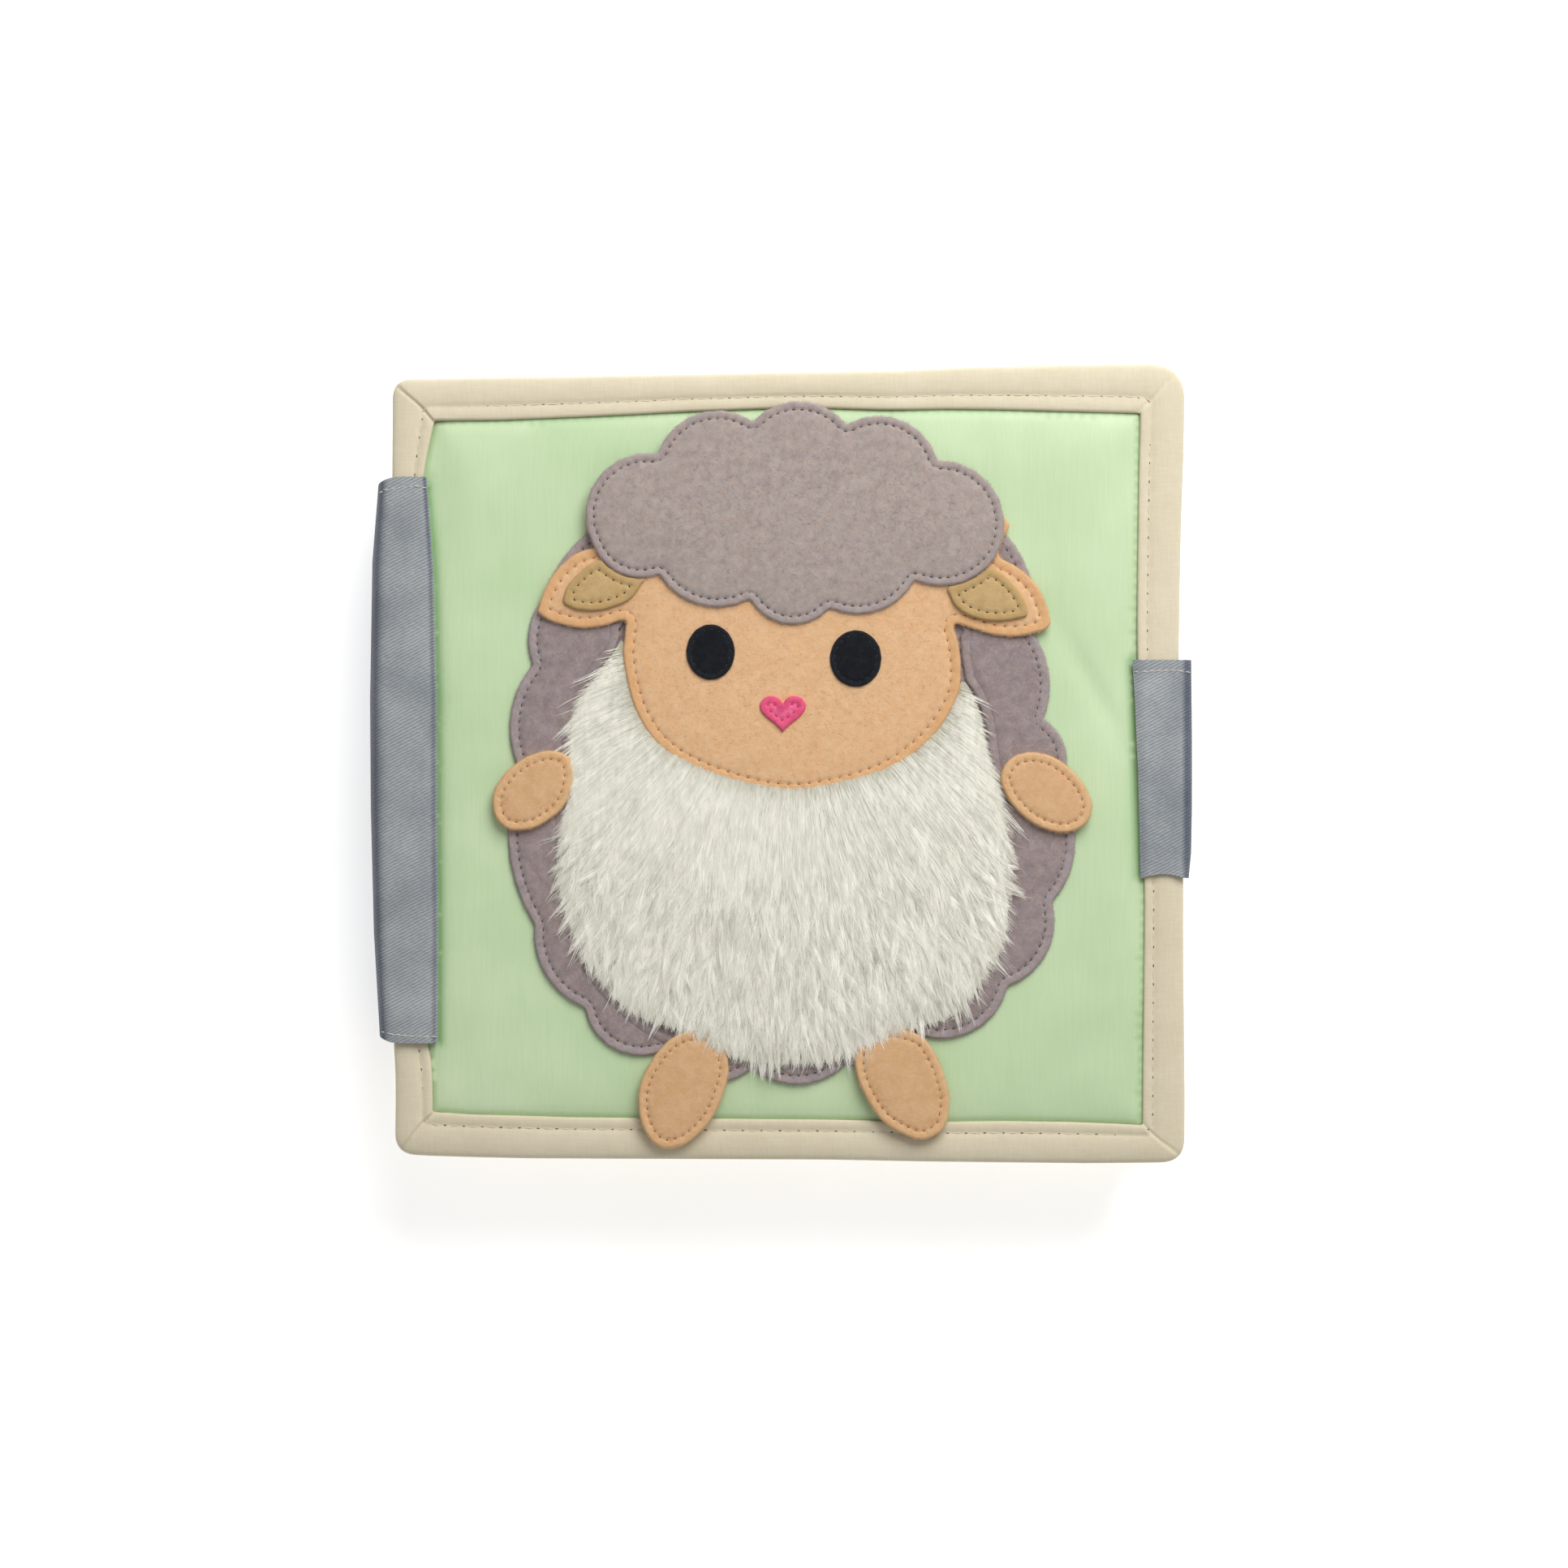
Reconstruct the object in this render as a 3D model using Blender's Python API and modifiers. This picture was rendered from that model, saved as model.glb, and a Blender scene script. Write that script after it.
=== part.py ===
# Cloth quiet book with a felt sheep on its front cover, lying closed on its back cover.
# Metres, +Z up. The spine is at -X, the fore-edge at +X and the covers' top edge at +Y.
import math

import bmesh
import bpy
from mathutils import Vector

mm = 0.001

# Driving sizes of the covers
coverWidth = 210 * mm
spineSideHeight = 205.4 * mm  # the covers are cut a little taller at the fore-edge
foreSideHeight = 212.3 * mm
coverCorner = 4.5 * mm
bindingWidth = 10 * mm
leafInset = 4 * mm  # how far the leaves stay inside the covers' edge
windowCorner = 1 * mm

# Cloth layers, and the clearance between any two of them
layerGap = 0.3 * mm
bindingCloth = 0.6 * mm
panelCloth = 0.5 * mm
coverWadding = 2.2 * mm
leafWadding = 1.2 * mm
panelCrown = 1.2 * mm  # how far the padding lifts the front panel inside its binding
crownShoulder = 20 * mm  # distance from the binding over which it rises
pageGap = 3 * mm
leafCount = 3

# Spine cloth and closing strap
strapCloth = 0.8 * mm
hookThickness = 0.5 * mm
spineCloth = strapCloth + layerGap + hookThickness  # the folded spine cloth keeps the book level
spineStripHeight = 150.4 * mm
spineStripOverlap = 11.4 * mm
spineBulge = 5.9 * mm
spineEndBulge = 3.6 * mm
spineStripRise = 1.3 * mm
hingeTapeHeight = 90 * mm
hingeTapeCloth = 0.8 * mm
strapWidth = 58 * mm
strapDrop = 1.1 * mm
strapOverlap = 13.4 * mm
strapStandoff = 2.4 * mm
strapTabLength = 34 * mm
tapeLength = 18 * mm
tapeMargin = 4 * mm
pivotSetback = 13 * mm  # the covers swing about a line this far behind their spine edges

# Felt and fur of the sheep
felt = 1.2 * mm
smallFelt = 1 * mm
furHeight = 9 * mm
furMargin = 2.4 * mm
limbFelt = 1.6 * mm
limbCrown = 0.5 * mm
limbCrownShare = 0.7  # the crown's outline as a share of the limb's

# Photograph's measures of the front cover, in its own pixels
coverPixelsWide = 973
coverPixelsTall = 968  # halfway across, between the spine side and the fore side
coverCentrePixel = (971.5, 942.5)

# Clock page
clockRadius = 62 * mm
clockFelt = 0.8 * mm
handFelt = 0.6 * mm
hourHandLength = 34 * mm
minuteHandLength = 50 * mm
handWidth = 11 * mm
handTail = 8 * mm
handTipWidth = 7.4 * mm
handTipShare = 0.7  # where along a hand its straight sides end and its point begins
hourHandAngle = -60  # degrees from twelve, anticlockwise
minuteHandAngle = 20
buttonStem = 2 * mm
buttonHead = 7 * mm
buttonHeight = 1 * mm

# Zip page
zipLength = 130 * mm
zipTapeWidth = 26 * mm
zipTapeCloth = 0.6 * mm
zipTeethWidth = 4 * mm
zipTeethHeight = 1.2 * mm
zipSliderLength = 14 * mm
zipSliderWidth = 9 * mm
zipSliderWall = 0.7 * mm
zipEndMargin = 4 * mm

# Barn page
barnWidth = 96 * mm
barnHeight = 74 * mm
barnFelt = 0.8 * mm
roofHeight = 44 * mm
roofEaves = 8 * mm
roofOverlap = 8 * mm
barnDrop = 26 * mm
trackWidth = 6 * mm
trackCloth = 0.5 * mm
doorWidth = 38 * mm
doorHeight = 50 * mm
doorHeader = 11 * mm
sliderWall = 0.5 * mm

# Counting page inside the back cover
ribbonLength = 150 * mm
ribbonWidth = 10 * mm
ribbonCloth = 0.5 * mm
ribbonEnd = 8 * mm
discRadius = 10 * mm
discCount = 3
discPitch = 42 * mm

# Steps along curves
arcSteps = 7
roundSteps = 48
furRings = 20
padSteps = 16
smoothSteps = 5
wrapSteps = 16
wrapRows = 12
wrapRoundnessPower = 0.6  # under 1, the wrap bulges with fuller shoulders than an ellipse

# Heights and places worked out from the sizes above
coverThickness = 2 * (bindingCloth + layerGap + panelCloth + layerGap) + coverWadding
leafThickness = 2 * (bindingCloth + layerGap + panelCloth + layerGap) + leafWadding
flangeDepth = bindingCloth + layerGap  # from a cover's outer face down to its panel
backBase = spineCloth + layerGap
backTop = backBase + coverThickness
leafPitch = leafThickness + pageGap
frontBase = backTop + pageGap + leafCount * leafPitch
frontTop = frontBase + coverThickness
feltBase = frontTop + layerGap - flangeDepth + panelCrown
faceBase = feltBase + felt + layerGap
topFeltBase = faceBase + felt + layerGap
furTop = faceBase + furHeight
wrapGap = 2 * layerGap  # between the spine wrap's ends and the flaps it continues
shiftX = (spineBulge + wrapGap - strapStandoff) / 2
spineEdge = shiftX - coverWidth / 2
foreEdge = shiftX + coverWidth / 2
pixelWide = coverWidth / coverPixelsWide
pixelTall = (spineSideHeight + foreSideHeight) / 2 / coverPixelsTall

# Outlines on the front cover, in the photograph's pixels
bodyCuspPixels = [
    ((735, 650), 0.095), ((672, 735), 0.145), ((657, 819), 0.15), ((641, 950), 0.12),
    ((659, 1139), 0.17), ((721, 1242), 0.24), ((815, 1296), 0.24), ((927, 1316), 0.20),
    ((1043, 1310), 0.22), ((1135, 1276), 0.22), ((1241, 1215), 0.20), ((1296, 1111), 0.18),
    ((1303, 972), 0.22), ((1285, 886), 0.13), ((1272, 780), 0.12), ((1240, 660), 0.0),
]
fringeCuspPixels = [
    ((811, 561), 0.32), ((733, 675), 0.20), ((813, 709), 0.20), ((924, 739), 0.26),
    ((1022, 750), 0.20), ((1126, 716), 0.18), ((1225, 688), 0.30), ((1154, 569), 0.25),
    ((1043, 525), 0.23), ((928, 521), 0.25),
]
facePixels = [
    (734, 674), (721, 679), (707, 685), (693, 697), (682, 709), (671, 730), (664, 752), (666, 757),
    (682, 766.5), (711, 773.5), (730, 773.5), (748, 770.5), (770.5, 764.5), (771, 780), (769, 812),
    (783, 870), (813, 914), (865, 944), (944, 966), (1009, 966), (1091, 944), (1147, 905),
    (1178, 858), (1183, 824), (1180, 793), (1175.5, 769.5), (1204, 777), (1222, 782), (1240, 784.5),
    (1255, 784), (1270, 781), (1292, 772), (1288, 745), (1275, 720), (1253, 700), (1230, 685.5),
    (1235, 665), (1236, 640), (1140, 620), (820, 620), (728, 645), (729, 660),
]
leftInnerEarPixels = [
    (745, 692), (731, 695), (719, 703), (709, 712), (701, 722), (697, 732), (695, 743), (701, 747.5),
    (711, 751.5), (727, 753.5), (742, 752.5), (755, 749), (768, 744.5), (776, 739.5), (784, 732),
    (790.5, 721), (793, 712),
]
rightInnerEarPixels = [
    (1169, 723), (1170, 735), (1176, 747), (1187, 756), (1202, 762.5), (1217, 765.5), (1232, 766),
    (1247, 764), (1262, 760.5), (1265, 757), (1262.5, 745.5), (1256, 732), (1247, 721), (1238, 712),
    (1226, 704), (1213, 702),
]
eyePixels = {
    "left_eye": ((876, 804), (29.7, 34)),
    "right_eye": ((1054, 812), (31.6, 34.7)),
}
nosePixels = ((964.5, 876), (57, 46))
furPixels = ((972, 1050), (292, 264))
# centre, half length, half width and the direction from the sewn end to the free end
limbPixels = {
    "left_hand": ((655, 974), (55, 44), (-0.7, 0.7), 0.0),
    "right_hand": ((1288, 976), (58, 44), (0.84, 0.54), 0.0),
    "left_foot": ((843, 1340), (75, 53), (-0.24, 0.97), 0.12),
    "right_foot": ((1113, 1337), (70, 54), (0.27, 0.96), 0.12),
}

colours = {
    "green sateen": (0.74, 0.85, 0.66), "cream bias tape": (0.80, 0.73, 0.59),
    "cotton wadding": (0.93, 0.93, 0.90), "grey twill": (0.27, 0.30, 0.34),
    "grey felt": (0.33, 0.27, 0.28), "pale grey felt": (0.38, 0.32, 0.33),
    "peach felt": (0.78, 0.48, 0.25), "tan felt": (0.55, 0.37, 0.15),
    "black felt": (0.01, 0.01, 0.015), "pink felt": (0.85, 0.10, 0.24),
    "ivory fur": (0.88, 0.87, 0.82), "hook and loop": (0.75, 0.74, 0.70),
    "blue cotton": (0.30, 0.47, 0.62), "yellow cotton": (0.83, 0.65, 0.22),
    "coral cotton": (0.78, 0.36, 0.28), "white felt": (0.90, 0.90, 0.88),
    "red felt": (0.62, 0.07, 0.07), "navy felt": (0.04, 0.07, 0.17),
    "brown felt": (0.22, 0.10, 0.05), "beech": (0.72, 0.52, 0.32),
    "zip nylon": (0.75, 0.75, 0.72), "nickel": (0.60, 0.60, 0.60),
}


def clearScene():
    for obj in list(bpy.data.objects):
        bpy.data.objects.remove(obj)


def makeCollection(name):
    collection = bpy.data.collections.new(name)
    bpy.context.scene.collection.children.link(collection)
    return collection


def makeMaterial(name):
    if name in bpy.data.materials:
        return bpy.data.materials[name]
    look = bpy.data.materials.new(name)
    look.use_nodes = True
    shader = look.node_tree.nodes["Principled BSDF"]
    shader.inputs["Base Color"].default_value = (*colours[name], 1)
    shader.inputs["Roughness"].default_value = 0.35 if name == "nickel" else 0.9
    shader.inputs["Metallic"].default_value = 1 if name == "nickel" else 0
    return look


class Pivot:
    """An empty on a joint's axis, and where it stands in the world."""

    def __init__(self, name, place, parent=None):
        self.place = Vector(place)
        self.empty = bpy.data.objects.new(name, None)
        bookCollection.objects.link(self.empty)
        if parent:
            self.empty.parent = parent.empty
            self.empty.location = self.place - parent.place
        else:
            self.empty.location = self.place


def addPiece(obj, look, pivot):
    """Give a piece its material and hang it on the pivot it moves with."""
    obj.data.materials.clear()
    obj.data.materials.append(makeMaterial(look))
    obj.parent = pivot.empty
    obj.location = obj.location - pivot.place
    return obj


def across(pixel):
    return shiftX + (pixel - coverCentrePixel[0]) * pixelWide


def upward(pixel):
    return (coverCentrePixel[1] - pixel) * pixelTall


def fromPhoto(pixels):
    return [(across(x), upward(y)) for x, y in pixels]


def arc(start, end, bulge):
    """Points of a circular arc that leaves the chord by a share of its length, end left out."""
    a, b = Vector(start), Vector(end)
    chord = b - a
    if abs(bulge) < 1e-4:
        return [tuple(a)]
    half = 2 * math.atan(2 * bulge)
    radius = chord.length / (2 * math.sin(half))
    outward = Vector((-chord.y, chord.x)).normalized()
    centre = (a + b) / 2 - outward * radius * math.cos(half)
    steps = [half - 2 * half * i / arcSteps for i in range(arcSteps)]
    along = chord.normalized()
    return [
        tuple(centre + (outward * math.cos(t) - along * math.sin(t)) * radius) for t in steps
    ]


def scallops(cusps):
    """Closed outline of arcs between cusps, listed with each arc's bulge, anticlockwise."""
    points = []
    for i, (cusp, bulge) in enumerate(cusps):
        following = cusps[(i + 1) % len(cusps)][0]
        start, end = fromPhoto([cusp, following])
        points += arc(start, end, -bulge)
    return points


def smoothLoop(points):
    """Closed smooth curve through a few points."""
    loop = []
    count = len(points)
    for i in range(count):
        p0, p1, p2, p3 = (Vector(points[(i + k - 1) % count]) for k in range(4))
        for step in range(smoothSteps):
            t = step / smoothSteps
            loop.append(tuple(0.5 * (
                2 * p1 + (p2 - p0) * t + (2 * p0 - 5 * p1 + 4 * p2 - p3) * t ** 2
                + (3 * p1 - p0 - 3 * p2 + p3) * t ** 3
            )))
    return loop


def ellipse(centre, halfWidth, halfHeight, turn=0.0, pinch=0.0, steps=roundSteps):
    """Ellipse, drawn in towards a point at both ends of its width by the pinch."""
    points = []
    for i in range(steps):
        t = 2 * math.pi * i / steps
        u = halfWidth * math.cos(t)
        v = halfHeight * math.sin(t) * (1 - pinch * math.cos(t) ** 2)
        points.append((
            centre[0] + u * math.cos(turn) - v * math.sin(turn),
            centre[1] + u * math.sin(turn) + v * math.cos(turn),
        ))
    return points


def heart(centre, width, height):
    """Heart curve with its lobes up, scaled to a width and a height."""
    wide, tall, middle = 32, 29, 2.5  # the curve's own width, height and mid height
    points = []
    for i in range(roundSteps):
        t = 2 * math.pi * i / roundSteps
        x = -16 * math.sin(t) ** 3
        y = 13 * math.cos(t) - 5 * math.cos(2 * t) - 2 * math.cos(3 * t) - math.cos(4 * t)
        points.append((centre[0] + x * width / wide, centre[1] + (y + middle) * height / tall))
    return points


def roundedCorners(corners, radius):
    """Closed outline with each corner of a polygon rounded by an arc."""
    points = []
    count = len(corners)
    for i, corner in enumerate(corners):
        here = Vector(corner)
        before = (Vector(corners[i - 1]) - here).normalized()
        after = (Vector(corners[(i + 1) % count]) - here).normalized()
        half = math.acos(max(-1, min(1, before.dot(after)))) / 2
        reach = radius / math.tan(half)
        start, end = here + before * reach, here + after * reach
        sagitta = radius * (1 - math.sin(half))
        points += arc(start, end, -sagitta / (end - start).length)
        points.append(tuple(end))
    return points


def coverOutline(inset, radius):
    """The cover's outline, a little taller at the fore-edge, drawn in by an inset."""
    x = coverWidth / 2 - inset
    spineY = spineSideHeight / 2 - inset
    foreY = foreSideHeight / 2 - inset
    corners = [(-x, -spineY), (x, -foreY), (x, foreY), (-x, spineY)]
    return roundedCorners([(shiftX + u, v) for u, v in corners], radius)


def rectangle(x0, y0, x1, y1):
    return [(x0, y0), (x1, y0), (x1, y1), (x0, y1)]


def curvePlate(name, outlines, bottom, thickness, collection):
    """A flat plate from closed outlines, the first outside and the others holes."""
    curve = bpy.data.curves.new(name, "CURVE")
    curve.dimensions = "2D"
    curve.fill_mode = "BOTH"
    curve.extrude = thickness / 2
    for outline in outlines:
        spline = curve.splines.new("POLY")
        spline.points.add(len(outline) - 1)
        for point, (x, y) in zip(spline.points, outline):
            point.co = (x, y, 0, 1)
        spline.use_cyclic_u = True
    obj = bpy.data.objects.new(name, curve)
    obj.location = (0, 0, bottom + thickness / 2)
    collection.objects.link(obj)
    return obj


def plate(name, outlines, bottom, thickness, look, pivot):
    obj = curvePlate(name, outlines, bottom, thickness, bookCollection)
    return addPiece(obj, look, pivot)


def solidPlate(name, outline, bottom, thickness, collection):
    """The same plate as a welded mesh, for cutting and joining."""
    curveObject = curvePlate(name, [outline], bottom, thickness, collection)
    bpy.context.view_layer.update()
    evaluated = curveObject.evaluated_get(bpy.context.evaluated_depsgraph_get())
    mesh = bpy.data.meshes.new_from_object(evaluated)
    work = bmesh.new()
    work.from_mesh(mesh)
    bmesh.ops.remove_doubles(work, verts=work.verts, dist=layerGap / 100)
    work.to_mesh(mesh)
    work.free()
    place = curveObject.location.copy()
    bpy.data.objects.remove(curveObject)
    obj = bpy.data.objects.new(name, mesh)
    obj.location = place
    collection.objects.link(obj)
    return obj


def cutter(name, outline, bottom, thickness):
    obj = solidPlate(name, outline, bottom, thickness, cutterCollection)
    obj.hide_render = True
    obj.display_type = "WIRE"
    return obj


def boolean(obj, other, operation="DIFFERENCE"):
    modifier = obj.modifiers.new(other.name, "BOOLEAN")
    modifier.operation = operation
    modifier.solver = "EXACT"
    modifier.object = other


def offsetLoop(points, distance):
    """The same anticlockwise outline, moved outwards point by point."""
    moved = []
    count = len(points)
    for i in range(count):
        before, here, after = (Vector(points[(i + k) % count]) for k in (-1, 0, 1))
        along = (after - before).normalized()
        moved.append(tuple(here + Vector((along.y, -along.x)) * distance))
    return moved


def boxMesh(name, low, high, collection):
    """A box from its low and high corners, starting as a cube primitive."""
    mesh = bpy.data.meshes.new(name)
    work = bmesh.new()
    bmesh.ops.create_cube(work, size=1)
    low, high = Vector(low), Vector(high)
    for vertex in work.verts:
        vertex.co = Vector(tuple(vertex.co[k] * (high[k] - low[k]) for k in range(3)))
    work.to_mesh(mesh)
    work.free()
    obj = bpy.data.objects.new(name, mesh)
    obj.location = (low + high) / 2
    collection.objects.link(obj)
    return obj


def boxCutter(name, low, high):
    obj = boxMesh(name, low, high, cutterCollection)
    obj.hide_render = True
    obj.display_type = "WIRE"
    return obj


def crownAt(x, y):
    """How far the padding lifts the front panel at a place on it."""
    slant = (foreSideHeight - spineSideHeight) / 2 / coverWidth
    side = min(x - spineEdge, foreEdge - x) - bindingWidth
    end = spineSideHeight / 2 + (x - spineEdge) * slant - abs(y) - bindingWidth
    lift = panelCrown
    for inside in (side, end):
        share = max(0, min(1, inside / crownShoulder))
        lift *= 1 - (1 - share) ** 2
    return lift


def crownedPad(name, outline, bottom, top, crowns, look, pivot):
    """A pad with its upper and lower faces lifted by a share of the crown, cut to an outline."""
    mesh = bpy.data.meshes.new(name)
    work = bmesh.new()
    bmesh.ops.create_grid(work, x_segments=padSteps, y_segments=padSteps, size=1)
    lower = list(work.verts)
    raised = bmesh.ops.extrude_face_region(work, geom=work.faces[:], use_keep_orig=True)
    upper = [item for item in raised["geom"] if isinstance(item, bmesh.types.BMVert)]
    for vertices, height, crown in ((lower, bottom, crowns[0]), (upper, top, crowns[1])):
        for vertex in vertices:
            x = shiftX + math.sin(vertex.co.x * math.pi / 2) * coverWidth / 2
            y = math.sin(vertex.co.y * math.pi / 2) * foreSideHeight / 2
            vertex.co = (x, y, height + crown * crownAt(x, y))
    bmesh.ops.recalc_face_normals(work, faces=work.faces)
    work.to_mesh(mesh)
    work.free()
    pad = bpy.data.objects.new(name, mesh)
    bookCollection.objects.link(pad)
    edge = cutter(name + "_edge", outline, bottom - panelCrown, top - bottom + 3 * panelCrown)
    boolean(pad, edge, "INTERSECT")
    addPiece(pad, look, pivot)


def paddedPanel(name, base, wadding, inset, looks, pivot, crown=0):
    """Two cloth panels with wadding between them, in a binding that wraps their edge."""
    slot = inset + bindingCloth + layerGap
    innerCorner = coverCorner - bindingCloth - layerGap
    lower = base + bindingCloth + layerGap
    middle = lower + panelCloth + layerGap
    upper = middle + wadding + layerGap
    thickness = upper + panelCloth + layerGap + bindingCloth - base
    panelOutline = coverOutline(slot, innerCorner)
    plate(name + looks["lower"][0], [panelOutline], lower, panelCloth, looks["lower"][1], pivot)
    if crown:
        crownedPad(
            name + looks["upper"][0], panelOutline, upper, upper + panelCloth, (1, 1),
            looks["upper"][1], pivot,
        )
        crownedPad(
            name + "_wadding", panelOutline, middle, middle + wadding, (0, 1),
            "cotton wadding", pivot,
        )
    else:
        plate(
            name + looks["upper"][0], [panelOutline], upper, panelCloth, looks["upper"][1],
            pivot,
        )
        plate(name + "_wadding", [panelOutline], middle, wadding, "cotton wadding", pivot)
    outline = coverOutline(inset, coverCorner)
    binding = solidPlate(name + "_binding", outline, base, thickness, bookCollection)
    room = cutter(
        name + "_binding_room", coverOutline(slot - layerGap, innerCorner),
        base + bindingCloth, thickness - 2 * bindingCloth,
    )
    window = cutter(
        name + "_binding_window", coverOutline(inset + bindingWidth, windowCorner),
        base - bindingCloth, thickness + 2 * bindingCloth,
    )
    boolean(binding, room)
    boolean(binding, window)
    addPiece(binding, "cream bias tape", pivot)


def wrapPoint(share, y, inward=0.0):
    """A point of the spine wrap's outer skin, from the front flap (0) to the back flap (1)."""
    side = y / (spineStripHeight / 2)
    bulge = spineBulge - (spineBulge - spineEndBulge) * side ** 2 - inward
    half = (frontTop + layerGap + spineCloth) / 2
    angle = math.pi / 2 - math.pi * share
    x = spineEdge - bulge * math.cos(angle) ** wrapRoundnessPower
    return x, half + (half - inward) * math.sin(angle)


def makeSpine(frontPivot, rootPivot):
    """The twill strip: a flap sewn on each cover and a bulging wrap between them."""
    half = spineStripHeight / 2
    low, high = spineStripRise - half, spineStripRise + half
    flap = rectangle(spineEdge, low, spineEdge + spineStripOverlap, high)
    plate("spine_front_flap", [flap], frontTop + layerGap, spineCloth, "grey twill", frontPivot)
    plate("spine_back_flap", [flap], 0, spineCloth, "grey twill", rootPivot)
    mesh = bpy.data.meshes.new("spine_wrap")
    work = bmesh.new()
    rows = []
    for i in range(wrapSteps + 1):
        row = []
        for j in range(wrapRows + 1):
            y = -half + spineStripHeight * j / wrapRows
            x, z = wrapPoint(i / wrapSteps, y)
            row.append(work.verts.new((x - wrapGap, y + spineStripRise, z)))
        rows.append(row)
    for i in range(wrapSteps):
        for j in range(wrapRows):
            work.faces.new((rows[i][j], rows[i][j + 1], rows[i + 1][j + 1], rows[i + 1][j]))
    work.to_mesh(mesh)
    work.free()
    wrap = bpy.data.objects.new("spine_wrap", mesh)
    bookCollection.objects.link(wrap)
    shell = wrap.modifiers.new("cloth", "SOLIDIFY")
    shell.thickness = spineCloth
    shell.offset = -1
    shell.use_even_offset = True
    addPiece(wrap, "grey twill", rootPivot)


def makeStrap(frontPivot, strapPivot, tabPivot, rootPivot):
    """Closing strap: sewn on the front cover, round the fore-edge, fastened underneath."""
    low, high = -strapWidth / 2 - strapDrop, strapWidth / 2 - strapDrop
    hinge = strapPivot.place.x
    flap = rectangle(foreEdge - strapOverlap, low, hinge - strapCloth / 2 - layerGap, high)
    plate(
        "strap_front_flap", [flap], frontTop + layerGap, strapCloth, "grey twill", frontPivot
    )
    side = boxMesh(
        "strap_side", (hinge - strapCloth / 2, low, strapCloth + layerGap / 3),
        (hinge + strapCloth / 2, high, frontTop + layerGap / 2), bookCollection,
    )
    addPiece(side, "grey twill", strapPivot)
    tabEnd = hinge - strapTabLength
    tab = roundedCorners(
        rectangle(tabEnd, low, hinge + strapCloth / 2, high), strapCloth / 2
    )
    plate("strap_tab", [tab], 0, strapCloth, "grey twill", tabPivot)
    tape = (
        tabEnd + tapeMargin, low + tapeMargin, tabEnd + tapeMargin + tapeLength,
        high - tapeMargin,
    )
    hooks = roundedCorners(rectangle(*tape), windowCorner)
    plate(
        "hook_tape", [hooks], strapCloth + layerGap, hookThickness, "hook and loop", tabPivot
    )
    plate(
        "loop_tape", [hooks], backBase + flangeDepth - layerGap - hookThickness,
        hookThickness, "hook and loop", rootPivot,
    )


def makeLimb(name, pivot):
    """A hand or a foot: two layers of felt with a low crown, sewn at its inner end only."""
    centre, (halfLong, halfWide), toward, pinch = limbPixels[name]
    middle = fromPhoto([centre])[0]
    turn = math.atan2(-toward[1], toward[0])
    outline = ellipse(middle, halfLong * pixelWide, halfWide * pixelTall, turn, pinch)
    limb = solidPlate(name, outline, faceBase, limbFelt, bookCollection)
    crown = [
        tuple(middle[k] + (point[k] - middle[k]) * limbCrownShare for k in range(2))
        for point in outline
    ]
    swell = solidPlate(
        name + "_crown", crown, faceBase + limbFelt / 2, limbFelt / 2 + limbCrown,
        cutterCollection,
    )
    swell.hide_render = True
    swell.display_type = "WIRE"
    boolean(limb, swell, "UNION")
    addPiece(limb, "peach felt", pivot)
    return outline


def limbPivot(name, parent):
    """The sewn edge of a limb, at its inner end and level with the top of its crown."""
    centre, (halfLong, _), toward, _ = limbPixels[name]
    direction = Vector(toward).normalized()
    inner = (centre[0] - direction.x * halfLong, centre[1] - direction.y * halfLong)
    x, y = fromPhoto([inner])[0]
    return Pivot(name + "_seam", (x, y, faceBase + limbFelt + limbCrown), parent)


def makeSheep(frontPivot, limbPivots):
    """The felt figure: body, face with ears, fringe, fur belly and four loose limbs."""
    plate(
        "sheep_body", [scallops(bodyCuspPixels)], feltBase, felt, "grey felt", frontPivot
    )
    faceOutline = smoothLoop(fromPhoto(facePixels))
    plate("sheep_face", [faceOutline], faceBase, felt, "peach felt", frontPivot)
    fringeOutline = scallops(fringeCuspPixels)
    plate("fringe", [fringeOutline], topFeltBase, felt, "pale grey felt", frontPivot)
    fringeRoom = cutter(
        "fringe_room", offsetLoop(fringeOutline, layerGap), topFeltBase - felt, felt * 3
    )
    ears = {"left_inner_ear": leftInnerEarPixels, "right_inner_ear": rightInnerEarPixels}
    for name, pixels in ears.items():
        ear = solidPlate(
            name, smoothLoop(fromPhoto(pixels)), topFeltBase, smallFelt, bookCollection
        )
        boolean(ear, fringeRoom)
        addPiece(ear, "tan felt", frontPivot)
    for name, (centre, (halfWide, halfTall)) in eyePixels.items():
        outline = ellipse(
            fromPhoto([centre])[0], halfWide * pixelWide, halfTall * pixelTall
        )
        plate(name, [outline], topFeltBase, smallFelt, "black felt", frontPivot)
    centre, (wide, tall) = nosePixels
    outline = heart(fromPhoto([centre])[0], wide * pixelWide, tall * pixelTall)
    plate("nose", [outline], topFeltBase, smallFelt, "pink felt", frontPivot)
    limbs = [makeLimb(name, pivot) for name, pivot in limbPivots.items()]
    makeFur(frontPivot, faceOutline, limbs)


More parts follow.
